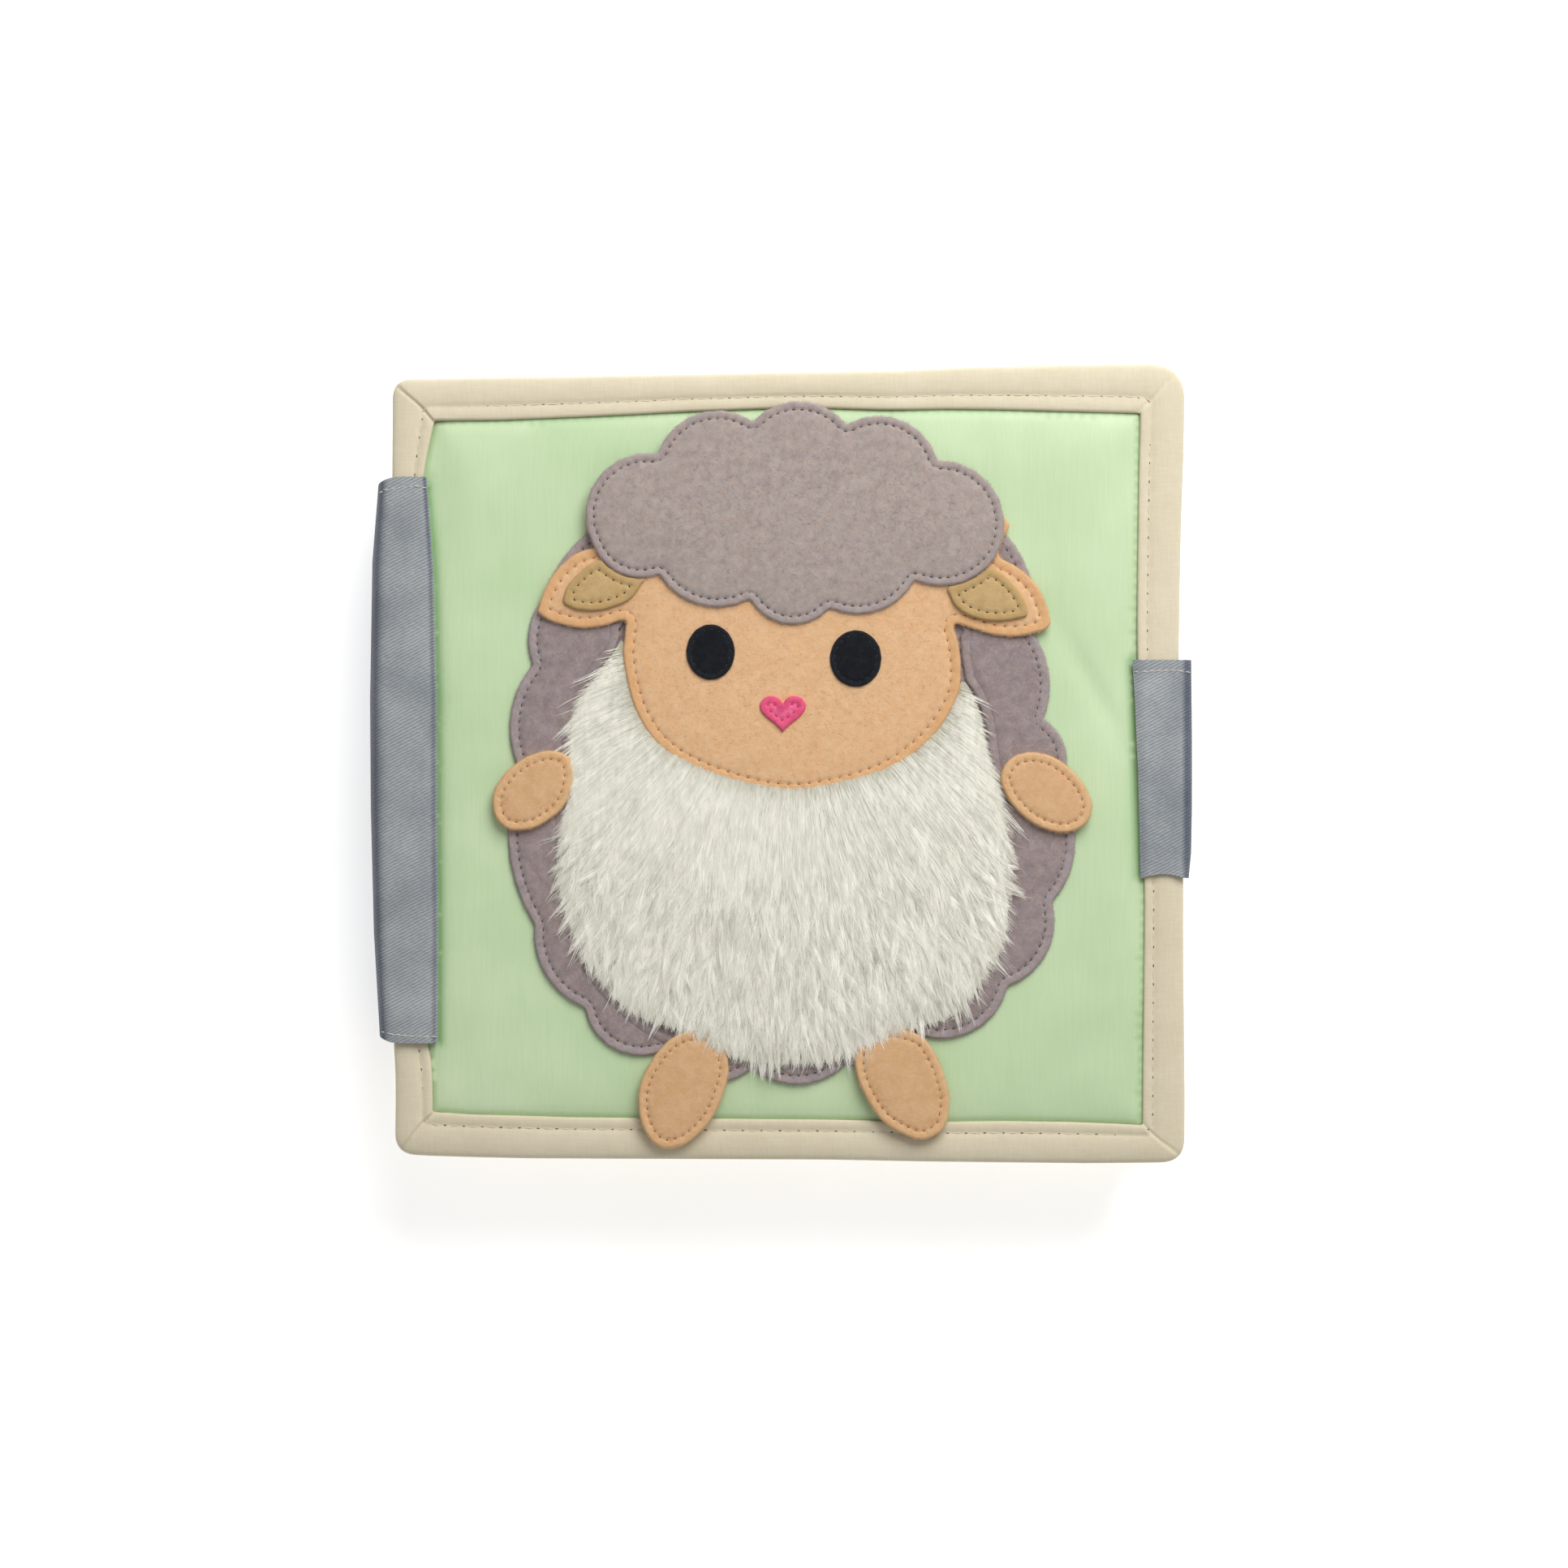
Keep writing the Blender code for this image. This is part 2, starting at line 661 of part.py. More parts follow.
def makeFur(frontPivot, faceOutline, limbs):
    """The fur belly: a low dome on the body, drawn back round the face and the limbs."""
    centre, (halfWide, halfTall) = furPixels
    mesh = bpy.data.meshes.new("belly_fur")
    work = bmesh.new()
    bmesh.ops.create_uvsphere(work, u_segments=roundSteps, v_segments=furRings, radius=1)
    for vertex in work.verts:
        vertex.co.x *= halfWide * pixelWide
        vertex.co.y *= halfTall * pixelTall
        vertex.co.z *= furHeight
    low = [vertex for vertex in work.verts if vertex.co.z < -furHeight / 100]
    bmesh.ops.delete(work, geom=low, context="VERTS")
    rim = [edge for edge in work.edges if edge.is_boundary]
    bmesh.ops.contextual_create(work, geom=rim)
    bmesh.ops.recalc_face_normals(work, faces=work.faces)
    work.to_mesh(mesh)
    work.free()
    fur = bpy.data.objects.new("belly_fur", mesh)
    x, y = fromPhoto([centre])[0]
    fur.location = (x, y, faceBase)
    bookCollection.objects.link(fur)
    cut = furHeight * 3
    boolean(fur, cutter(
        "face_room", offsetLoop(faceOutline, layerGap), faceBase - furHeight, cut
    ))
    for i, outline in enumerate(limbs):
        boolean(fur, cutter(
            f"limb_room_{i}", offsetLoop(outline, furMargin), faceBase - furHeight, cut
        ))
    addPiece(fur, "ivory fur", frontPivot)


def handOutline(length, turnUp):
    """A clock hand: a long drop with its round end behind the centre."""
    right = [
        (0, -handTail), (handWidth / 2, 0), (handTipWidth / 2, length * handTipShare),
        (0, length),
    ]
    left = [(-x, y) for x, y in reversed(right[1:-1])]
    turned = []
    for x, y in right + left:
        turned.append((
            shiftX + x * math.cos(turnUp) - y * math.sin(turnUp),
            x * math.sin(turnUp) + y * math.cos(turnUp),
        ))
    return turned


def makeClock(panelTop, pagePivot, hourPivot, minutePivot):
    """A clock face with two turning hands held by a button."""
    hole = ellipse((shiftX, 0), buttonStem + layerGap, buttonStem + layerGap)
    face = ellipse((shiftX, 0), clockRadius, clockRadius)
    faceBottom = panelTop + layerGap
    hourBottom = faceBottom + clockFelt + layerGap
    minuteBottom = hourBottom + handFelt + layerGap
    plate("clock_face", [face, hole], faceBottom, clockFelt, "white felt", pagePivot)
    hour = handOutline(hourHandLength, math.radians(hourHandAngle))
    minute = handOutline(minuteHandLength, math.radians(minuteHandAngle))
    plate("hour_hand", [hour, hole], hourBottom, handFelt, "red felt", hourPivot)
    plate("minute_hand", [minute, hole], minuteBottom, handFelt, "navy felt", minutePivot)
    headBottom = minuteBottom + handFelt + layerGap
    stem = solidPlate(
        "clock_button", ellipse((shiftX, 0), buttonStem, buttonStem), faceBottom,
        headBottom + buttonHeight / 2 - faceBottom, bookCollection,
    )
    head = solidPlate(
        "clock_button_head", ellipse((shiftX, 0), buttonHead, buttonHead), headBottom,
        buttonHeight, cutterCollection,
    )
    head.hide_render = True
    head.display_type = "WIRE"
    boolean(stem, head, "UNION")
    addPiece(stem, "beech", pagePivot)


def makeZip(panelTop, pagePivot, sliderPivot):
    """A zip across the page, with a slider that runs along its teeth."""
    bottom = panelTop + layerGap
    half = zipLength / 2
    tape = boxMesh(
        "zip_tape", (shiftX - half, -zipTapeWidth / 2, bottom),
        (shiftX + half, zipTapeWidth / 2, bottom + zipTapeCloth), bookCollection,
    )
    teeth = boxMesh(
        "zip_teeth", (shiftX - half + zipEndMargin, -zipTeethWidth / 2, bottom),
        (shiftX + half - zipEndMargin, zipTeethWidth / 2, bottom + zipTapeCloth + zipTeethHeight),
        cutterCollection,
    )
    teeth.hide_render = True
    teeth.display_type = "WIRE"
    boolean(tape, teeth, "UNION")
    addPiece(tape, "zip nylon", pagePivot)
    start = sliderPivot.place.x
    seat = bottom + zipTapeCloth + layerGap
    roof = bottom + zipTapeCloth + zipTeethHeight + layerGap
    slider = boxMesh(
        "zip_slider", (start - zipSliderLength / 2, -zipSliderWidth / 2, seat),
        (start + zipSliderLength / 2, zipSliderWidth / 2, roof + zipSliderWall),
        bookCollection,
    )
    groove = zipTeethWidth / 2 + layerGap
    boolean(slider, boxCutter(
        "zip_slider_groove", (start - zipSliderLength, -groove, seat - zipTeethHeight),
        (start + zipSliderLength, groove, roof),
    ))
    addPiece(slider, "nickel", sliderPivot)


def sliderSlot(name, obj, x, y, reach, width, bottom, thickness):
    """Cut the slot that a ribbon or a track runs through, with clearance all round."""
    boolean(obj, boxCutter(
        name, (x - reach, y - width / 2 - layerGap, bottom - layerGap),
        (x + reach, y + width / 2 + layerGap, bottom + thickness + layerGap),
    ))


def makeBarn(panelTop, pagePivot, doorPivot):
    """A felt barn with a door that slides along a ribbon track."""
    bottom = panelTop + layerGap
    left, right = shiftX - barnWidth / 2, shiftX + barnWidth / 2
    floor = barnHeight / 2 - barnDrop - barnHeight
    top = floor + barnHeight
    plate(
        "barn_wall", [rectangle(left, floor, right, top)], bottom, barnFelt, "red felt",
        pagePivot,
    )
    roof = [
        (left - roofEaves, top - roofOverlap), (right + roofEaves, top - roofOverlap),
        (shiftX + barnWidth / 4, top + roofHeight), (shiftX - barnWidth / 4, top + roofHeight),
    ]
    upper = bottom + barnFelt + layerGap
    plate("barn_roof", [roof], upper, barnFelt, "brown felt", pagePivot)
    track = top - roofOverlap - doorHeader / 2 - layerGap
    trackBottom = upper + sliderWall + layerGap
    strip = boxMesh(
        "door_track", (left + trackWidth, track - trackWidth / 2, trackBottom),
        (right - trackWidth, track + trackWidth / 2, trackBottom + trackCloth), bookCollection,
    )
    for side, x in (("left", left + trackWidth), ("right", right - 2 * trackWidth)):
        end = boxMesh(
            f"track_{side}_end", (x, track - trackWidth / 2, upper),
            (x + trackWidth, track + trackWidth / 2, trackBottom + trackCloth),
            cutterCollection,
        )
        end.hide_render = True
        end.display_type = "WIRE"
        boolean(strip, end, "UNION")
    addPiece(strip, "cream bias tape", pagePivot)
    x = doorPivot.place.x
    headerTop = track + doorHeader / 2
    door = boxMesh(
        "barn_door", (x - doorWidth / 2, headerTop - doorHeight, upper),
        (x + doorWidth / 2, headerTop - doorHeader, upper + barnFelt), bookCollection,
    )
    thickness = 2 * (sliderWall + layerGap) + trackCloth
    header = boxMesh(
        "door_header", (x - doorWidth / 2, headerTop - doorHeader - sliderWall, upper),
        (x + doorWidth / 2, headerTop, upper + thickness), cutterCollection,
    )
    header.hide_render = True
    header.display_type = "WIRE"
    boolean(door, header, "UNION")
    sliderSlot(
        "door_slot", door, x, track, doorWidth, trackWidth, trackBottom, trackCloth
    )
    addPiece(door, "white felt", doorPivot)


def makeCounting(liningTop, pagePivot, discPivots):
    """Flat wooden discs on a ribbon inside the back cover."""
    bottom = liningTop + layerGap
    level = bottom + sliderWall + layerGap
    half = ribbonLength / 2
    ribbon = boxMesh(
        "counting_ribbon", (shiftX - half, -ribbonWidth / 2, level),
        (shiftX + half, ribbonWidth / 2, level + ribbonCloth), bookCollection,
    )
    for side, x in (("left", shiftX - half), ("right", shiftX + half - ribbonEnd)):
        end = boxMesh(
            f"ribbon_{side}_end", (x, -ribbonWidth / 2, bottom),
            (x + ribbonEnd, ribbonWidth / 2, level + ribbonCloth), cutterCollection,
        )
        end.hide_render = True
        end.display_type = "WIRE"
        boolean(ribbon, end, "UNION")
    addPiece(ribbon, "navy felt", pagePivot)
    thickness = 2 * (sliderWall + layerGap) + ribbonCloth
    for name, pivot in discPivots.items():
        x = pivot.place.x
        disc = solidPlate(
            name, ellipse((x, 0), discRadius, discRadius), bottom, thickness, bookCollection
        )
        sliderSlot(
            name + "_slot", disc, x, 0, discRadius * 2, ribbonWidth, level, ribbonCloth
        )
        addPiece(disc, "beech", pivot)


def makeHingeTape(name, base, pivot):
    """The tape that joins a leaf to the inside of the spine wrap."""
    middle = base + leafThickness / 2
    half = (frontTop + layerGap + spineCloth) / 2
    share = 0.5 - math.asin((middle - half) / half) / math.pi
    x, _ = wrapPoint(share, hingeTapeHeight / 2 + spineStripRise, spineCloth)
    mid = hingeTapeHeight / 2
    tape = boxMesh(
        name, (x + layerGap - wrapGap, -mid, middle - hingeTapeCloth / 2),
        (spineEdge + leafInset - layerGap, mid, middle + hingeTapeCloth / 2), bookCollection,
    )
    addPiece(tape, "cream bias tape", pivot)


def makeBook():
    root = Pivot("book", (0, 0, 0))
    spineLine = (spineEdge - pivotSetback, 0, furTop / 2)
    leafLooks = ["coral cotton", "yellow cotton", "blue cotton"]
    coverLooks = {
        "lower": ("_panel", "green sateen"), "upper": ("_lining", "green sateen"),
    }
    paddedPanel("back_cover", backBase, coverWadding, 0, coverLooks, root)
    leafPivots = []
    below = root
    for number in range(leafCount, 0, -1):
        name = f"leaf_{number}"
        base = backTop + pageGap + (leafCount - number) * leafPitch
        pivot = Pivot(name + "_swing", spineLine, below)
        look = leafLooks[(number - 1) % len(leafLooks)]
        looks = {"upper": ("_front_panel", look), "lower": ("_back_panel", look)}
        paddedPanel(name, base, leafWadding, leafInset, looks, pivot)
        makeHingeTape(name + "_hinge_tape", base, pivot)
        leafPivots.append((pivot, base + leafThickness - flangeDepth))
        below = pivot
    front = Pivot("front_cover_swing", spineLine, below)
    frontLooks = {
        "lower": ("_lining", "green sateen"), "upper": ("_panel", "green sateen"),
    }
    paddedPanel("front_cover", frontBase, coverWadding, 0, frontLooks, front, crown=1)
    makeSpine(front, root)

    strapX = foreEdge + strapStandoff - strapCloth / 2
    strapFold = Pivot("strap_fold", (strapX, 0, frontTop + layerGap + strapCloth / 2), front)
    tabFold = Pivot("tab_fold", (strapX, 0, strapCloth / 2), strapFold)
    makeStrap(front, strapFold, tabFold, root)
    makeSheep(front, {name: limbPivot(name, front) for name in limbPixels})

    barnPage, zipPage, clockPage = leafPivots
    hourPivot = Pivot("hour_hand_centre", (shiftX, 0, clockPage[1]), clockPage[0])
    minutePivot = Pivot("minute_hand_centre", (shiftX, 0, clockPage[1]), clockPage[0])
    makeClock(clockPage[1], clockPage[0], hourPivot, minutePivot)
    zipStart = shiftX - zipLength / 2 + zipEndMargin + zipSliderLength / 2
    makeZip(zipPage[1], zipPage[0], Pivot("zip_start", (zipStart, 0, zipPage[1]), zipPage[0]))
    doorStart = shiftX - barnWidth / 2 + 2 * trackWidth + doorWidth / 2 + layerGap
    doorPivot = Pivot("door_start", (doorStart, 0, barnPage[1]), barnPage[0])
    makeBarn(barnPage[1], barnPage[0], doorPivot)
    liningTop = backTop - flangeDepth
    firstDisc = shiftX - ribbonLength / 2 + ribbonEnd + discRadius + layerGap
    discPivots = {
        f"counting_disc_{i + 1}": Pivot(
            f"disc_{i + 1}_start", (firstDisc + i * discPitch, 0, liningTop), root
        )
        for i in range(discCount)
    }
    makeCounting(liningTop, root, discPivots)


clearScene()
bookCollection = makeCollection("quiet book")
cutterCollection = makeCollection("cutters")
makeBook()
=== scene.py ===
import math

import bmesh
import bpy
import numpy as np
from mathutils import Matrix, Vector, kdtree
from mathutils.geometry import delaunay_2d_cdt


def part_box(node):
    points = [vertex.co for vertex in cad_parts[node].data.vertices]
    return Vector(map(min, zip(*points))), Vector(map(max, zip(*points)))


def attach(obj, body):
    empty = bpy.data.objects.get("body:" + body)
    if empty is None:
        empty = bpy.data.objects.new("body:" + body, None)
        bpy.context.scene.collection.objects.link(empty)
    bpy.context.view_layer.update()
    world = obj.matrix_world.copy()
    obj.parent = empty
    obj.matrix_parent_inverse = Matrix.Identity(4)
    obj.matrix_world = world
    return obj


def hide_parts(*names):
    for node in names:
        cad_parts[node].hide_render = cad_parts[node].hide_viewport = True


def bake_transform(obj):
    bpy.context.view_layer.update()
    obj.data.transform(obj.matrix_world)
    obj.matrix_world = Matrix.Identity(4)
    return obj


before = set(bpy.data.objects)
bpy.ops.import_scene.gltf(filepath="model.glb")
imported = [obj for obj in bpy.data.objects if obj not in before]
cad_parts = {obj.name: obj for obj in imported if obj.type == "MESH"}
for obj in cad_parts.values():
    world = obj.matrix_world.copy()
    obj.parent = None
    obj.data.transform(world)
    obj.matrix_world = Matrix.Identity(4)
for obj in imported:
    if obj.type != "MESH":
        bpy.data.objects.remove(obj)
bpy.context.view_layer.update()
mm = 0.001

# The photograph's scale on the front cover: the cover's size and middle and the frame, all in pixels
photo = {"coverWide": 973, "coverTall": 968, "coverCentre": (971.5, 942.5), "frame": 1932}
coverLow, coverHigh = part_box("front_cover_binding")
coverSizes = {"width": 210 * mm, "spineHeight": 205.4 * mm, "foreHeight": 212.3 * mm}
shiftX = (coverLow.x + coverHigh.x) / 2
pixelWide = coverSizes["width"] / photo["coverWide"]
pixelTall = (coverSizes["spineHeight"] + coverSizes["foreHeight"]) / 2 / photo["coverTall"]


def fromPhoto(pixels):
    pixels = np.asarray(pixels, float)
    centre = photo["coverCentre"]
    return np.stack([
        shiftX + (pixels[:, 0] - centre[0]) * pixelWide, (centre[1] - pixels[:, 1]) * pixelTall
    ], 1)


# sRGB hex to linear colour
def linear(code, alpha=1.0):
    channels = [int(code[i:i + 2], 16) / 255 for i in (1, 3, 5)]
    return (*(c / 12.92 if c <= 0.04045 else ((c + 0.055) / 1.055) ** 2.4 for c in channels), alpha)


# adds one node: a setting is a property, a socket's value, another node's socket to link, or a ramp's stops
def addNode(tree, kind, settings, output=0):
    node = tree.nodes.new("ShaderNode" + kind)
    for name, value in settings.items():
        if name == "stops":
            for i, (position, code) in enumerate(value):
                stop = node.color_ramp.elements[i] if i < 2 else node.color_ramp.elements.new(position)
                stop.position, stop.color = position, linear(code)
        elif isinstance(name, str) and name not in node.inputs:
            setattr(node, name, value)
        elif isinstance(value, bpy.types.NodeSocket):
            tree.links.new(value, node.inputs[name])
        else:
            node.inputs[name].default_value = value
    return node.outputs[output] if len(node.outputs) else node


# a ramp's stops from a look's three colours, at the given places
def shades(look, *places):
    return list(zip(places, (look["dark"], look["mid"], look["light"])))


# a new material with one soft random pattern for each entry, and the sum of those that have a weight
def startMaterial(name, patterns):
    material = bpy.data.materials.new(name)
    material.use_nodes = True
    tree = material.node_tree
    tree.nodes.remove(tree.nodes["Principled BSDF"])
    place = addNode(tree, "TexCoord", {}, "Object")
    made, total = {}, None
    for key, look in patterns.items():
        spread = addNode(tree, "Mapping", {
            "Vector": place, "Scale": [1 / (look["size"] * s) for s in look.get("stretch", (1, 1, 1))],
            "Rotation": (0, 0, look.get("turn", 0)),
        })
        made[key] = addNode(tree, "TexNoise", {
            "Vector": spread, "Scale": 1.0, "Detail": look.get("detail", 2), "Roughness": look.get("rough", 0.5),
            "Distortion": look.get("twist", 0),
        })
        if "weight" in look:
            total = addNode(tree, "Math", {
                "operation": "MULTIPLY_ADD", 0: made[key], 1: look["weight"], 2: 0.0 if total is None else total,
            })
    return material, tree, place, made, total


# gives the material its surface; bump is a height, its depth and its strength
def finishMaterial(material, settings, bump=None):
    tree = material.node_tree
    if bump:
        normal = addNode(tree, "Bump", {"Height": bump[0], "Distance": bump[1], "Strength": bump[2]})
        settings = dict(settings, Normal=normal)
    surface = addNode(tree, "BsdfPrincipled", settings)
    tree.links.new(surface, tree.nodes["Material Output"].inputs["Surface"])
    return material


# Needle-punched craft felt: matted fibres with no weave, so it is quite matt and softly mottled.
# The cut rim outside a seam is pressed and a little fuzzy.
def makeFelt(name, look):
    material, tree, place, made, both = startMaterial(name, {
        "mottle": {"size": 2.6 * mm, "detail": 4, "rough": 0.66, "twist": 0.5, "weight": 0.52},
        "curls": {"size": 0.8 * mm, "detail": 4, "rough": 0.7, "twist": 2.2, "stretch": look["grain"],
                  "turn": 0.3, "weight": 0.3},
        "specks": {"size": 0.36 * mm, "rough": 0.6, "weight": 0.18},
        "drift": {"size": 1.3 * mm},
    })
    inside = addNode(tree, "ValToRGB", {"Fac": both, "stops": shades(look, 0.36, 0.5, 0.64)})
    rim = addNode(tree, "ValToRGB", {"Fac": both, "stops": [(0.36, look["rimDark"]), (0.64, look["rimLight"])]})
    edge = addNode(tree, "Attribute", {"attribute_name": "rim"}, "Fac")
    colour = addNode(tree, "Mix", {"data_type": "RGBA", 0: edge, 6: inside, 7: rim}, 2)
    tint = addNode(tree, "ValToRGB", {"Fac": made["drift"], "stops": [(0.38, "#fbfdff"), (0.62, "#fffaf4")]})
    tinted = addNode(tree, "Mix", {"data_type": "RGBA", "blend_type": "MULTIPLY", 0: 1.0, 6: colour, 7: tint}, 2)
    return finishMaterial(material, {
        "Base Color": tinted, "Roughness": 0.97, "Sheen Weight": 0.1, "Sheen Roughness": 0.6,
        "Specular IOR Level": 0.12,
    }, (both, 0.45 * mm, 0.55))


# Cotton sateen: long warp floats lie side by side, so it shows fine upright threads and a soft gloss; where it is
# drawn in, it gets painted shade.
def makeSateen(name, look):
    material, tree, place, made, value = startMaterial(name, {
        "threads": {"size": 0.42 * mm, "stretch": (1, 26, 1), "weight": 0.3},  # drawn at twice the real thread
        "cloud": {"size": 26 * mm, "weight": 0.7},
    })
    colour = addNode(tree, "ValToRGB", {"Fac": value, "stops": shades(look, 0.3, 0.5, 0.7)})
    # painted shade: the sateen is darkened towards its crease colour where it is drawn in, as if in shadow
    crease = addNode(tree, "Attribute", {"attribute_name": "creaseShade"}, "Fac")
    shaded = addNode(tree, "Mix", {
        "data_type": "RGBA", "blend_type": "MULTIPLY", 0: 1.0, 6: colour, 7: linear(look["crease"]),
    }, 2)
    return finishMaterial(material, {
        "Base Color": addNode(tree, "Mix", {"data_type": "RGBA", 0: crease, 6: colour, 7: shaded}, 2),
        "Roughness": look["roughness"], "Sheen Weight": 0.12, "Sheen Roughness": 0.35, "Specular IOR Level": 0.4,
    }, (made["threads"], 0.03 * mm, 0.35))


# Plain-woven cotton tape or cloth: over-and-under threads give an even fine grain and no gloss.
def makeCotton(name, look):
    turn = look.get("turn", 0)
    material, tree, place, made, value = startMaterial(name, {
        "warp": {"size": 0.5 * mm, "stretch": (1, 8, 8), "turn": turn, "weight": 0.325},
        "weft": {"size": 0.5 * mm, "stretch": (8, 1, 8), "turn": turn, "weight": 0.325},
        "cloud": {"size": 18 * mm, "detail": 3, "rough": 0.6, "weight": 0.35},
    })
    colour = addNode(tree, "ValToRGB", {"Fac": value, "stops": shades(look, 0.3, 0.5, 0.7)})
    weave = addNode(tree, "Math", {"operation": "ADD", 0: made["warp"], 1: made["weft"]})
    return finishMaterial(material, {
        "Base Color": colour, "Roughness": 0.86, "Sheen Weight": 0.08, "Specular IOR Level": 0.2,
    }, (weave, 0.025 * mm, 0.4))


# Cotton twill: each thread steps over the next, so fine ridges run up to the right; where it turns steeply down it
# gets painted shade.
def makeTwill(name, look):
    material, tree, place, made, rest = startMaterial(name, {
        "fray": {"size": 0.45 * mm, "detail": 3, "rough": 0.6, "stretch": (3, 1, 3), "turn": -0.5, "weight": 0.33},
        "cloud": {"size": 14 * mm, "weight": 0.33},
    })
    wobble = addNode(tree, "TexNoise", {"Vector": place, "Scale": 110.0, "Detail": 2.0}, "Color")
    bent = addNode(tree, "VectorMath", {"operation": "SCALE", 0: wobble, "Scale": 0.0007})
    moved = addNode(tree, "VectorMath", {"operation": "ADD", 0: place, 1: bent})
    turned = addNode(tree, "Mapping", {"Vector": moved, "Rotation": (0, 0, math.radians(90 - look["rise"]))})
    ridges = addNode(tree, "TexWave", {
        "wave_type": "BANDS", "bands_direction": "X", "Vector": turned, "Scale": math.pi / 10 / look["pitch"],
        "Distortion": 0.35, "Detail": 2.0, "Detail Scale": 3.0,
    }, "Fac")
    patchy = addNode(tree, "Math", {"operation": "MULTIPLY_ADD", 0: made["cloud"], 1: 0.5, 2: 0.5})
    ridge = addNode(tree, "Math", {"operation": "MULTIPLY", 0: ridges, 1: patchy})
    value = addNode(tree, "Math", {"operation": "MULTIPLY_ADD", 0: ridge, 1: look["contrast"], 2: rest})
    colour = addNode(tree, "ValToRGB", {"Fac": value, "stops": shades(look, 0.3, 0.46, 0.64)})
    # painted shade: steep, turned-down cloth is multiplied by the side colour, as if it faced away from the light
    sideShadeMask = addNode(tree, "Attribute", {"attribute_name": "sideShade"}, "Fac")
    shaded = addNode(tree, "Mix", {
        "data_type": "RGBA", "blend_type": "MULTIPLY", 0: 1.0, 6: colour, 7: linear(look["side"]),
    }, 2)
    height = addNode(tree, "Math", {"operation": "MULTIPLY_ADD", 0: made["fray"], 1: 0.4, 2: ridges})
    return finishMaterial(material, {
        "Base Color": addNode(tree, "Mix", {"data_type": "RGBA", 0: sideShadeMask, 6: colour, 7: shaded}, 2),
        "Roughness": 0.8, "Sheen Weight": 0.1, "Specular IOR Level": 0.25,
    }, (height, 0.08 * mm, 0.5))


# Spun thread: a tight glossy twist, seen as a fine sheen along each stitch.
def makeThread(name, code, roughness=0.55):
    material, tree, place, made, _ = startMaterial(name, {"twist": {"size": 0.25 * mm, "rough": 0.6}})
    deep = tuple(c * 0.72 for c in linear(code)[:3]) + (1.0,)
    colour = addNode(tree, "Mix", {"data_type": "RGBA", 0: made["twist"], 6: linear(code), 7: deep}, 2)
    return finishMaterial(material, {"Base Color": colour, "Roughness": roughness, "Sheen Weight": 0.1},
                          (made["twist"], 0.05 * mm, 0.5))


# Long-pile plush: fine smooth acrylic hairs that shine a little and shade one another at the roots.
# Light scatters among the hairs, so a faint glow stands in for what the ribbons block.
def makePile(name, look):
    material, tree, place, made, hairs = startMaterial(name, {
        "hairs": {"size": 1.1 * mm, "stretch": (1, 4, 1), "weight": 0.5},
    })
    lock = addNode(tree, "Attribute", {"attribute_name": "lock"}, "Fac")
    value = addNode(tree, "Math", {"operation": "MULTIPLY_ADD", 0: lock, 1: 0.5, 2: hairs})
    tips = addNode(tree, "ValToRGB", {"Fac": value, "stops": shades(look, 0.25, 0.5, 0.75)})
    along = addNode(tree, "Attribute", {"attribute_name": "alongHair"}, "Fac")
    # painted shade: each hair is darkened towards its root, where the hairs shade one another
    roots = addNode(tree, "ValToRGB", {"Fac": along, "stops": [(0.0, look["root"]), (0.5, "#ffffff")]})
    colour = addNode(tree, "Mix", {"data_type": "RGBA", "blend_type": "MULTIPLY", 0: 1.0, 6: tips, 7: roots}, 2)
    return finishMaterial(material, {
        "Base Color": colour, "Emission Color": colour, "Emission Strength": look["glow"],
        "Roughness": look["roughness"], "Specular IOR Level": 0.35,
    })


# chains the edges that only one face uses into closed loops, the longest first
def chainLoops(edges):
    following = {}
    for a, b in edges:
        following.setdefault(a, []).append(b)
    loops = []
    while following:
        start = next(iter(following))
        loop = [start]
        while True:
            options = following.get(loop[-1])
            if not options:
                break
            step = options.pop()
            if not options:
                del following[loop[-1]]
            if step == start:
                break
            loop.append(step)
        loops.append(loop)
    return sorted(loops, key=len, reverse=True)


def boundaryEdges(faces):
    count = {}
    for face in faces:
        for a, b in zip(face, face[1:] + face[:1]):
            count[(a, b)] = count.get((a, b), 0) + 1
    return [(a, b) for a, b in count if (b, a) not in count]


def signedArea(loop):
    x, y = loop[:, 0], loop[:, 1]
    return 0.5 * float(np.sum(x * np.roll(y, -1) - np.roll(x, -1) * y))


def anticlockwise(loop):
    return loop if signedArea(loop) > 0 else loop[::-1]


def unit(vectors):
    return vectors / np.maximum(np.linalg.norm(vectors, axis=-1, keepdims=True), 1e-12)


# each direction turned a quarter to the left
def leftOf(vectors):
    return np.stack([-vectors[:, 1], vectors[:, 0]], 1)


def turnedBy(vectors, angle):
    c, s = np.cos(angle), np.sin(angle)
    return np.stack([vectors[:, 0] * c - vectors[:, 1] * s, vectors[:, 0] * s + vectors[:, 1] * c], 1)


# how far along a line each of its points lies
def lengthsAlong(path):
    return np.concatenate([[0], np.cumsum(np.linalg.norm(np.diff(path, axis=0), axis=1))])


# the outline of a CAD plate's lower face, anticlockwise
def outlineOf(node):
    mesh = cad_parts[node].data
    points = np.array([v.co for v in mesh.vertices])
    low = points[:, 2].min()
    key = [tuple(np.round(p[:2] / (0.01 * mm)).astype(int)) for p in points]
    faces = [
        [key[v] for v in polygon.vertices] for polygon in mesh.polygons
        if all(points[v][2] < low + 0.02 * mm for v in polygon.vertices)
    ]
    loops = chainLoops(boundaryEdges(faces))
    found = [np.array(loop, float) * 0.01 * mm for loop in loops if len(loop) > 2]
    return anticlockwise(max(found, key=lambda loop: abs(signedArea(loop))))


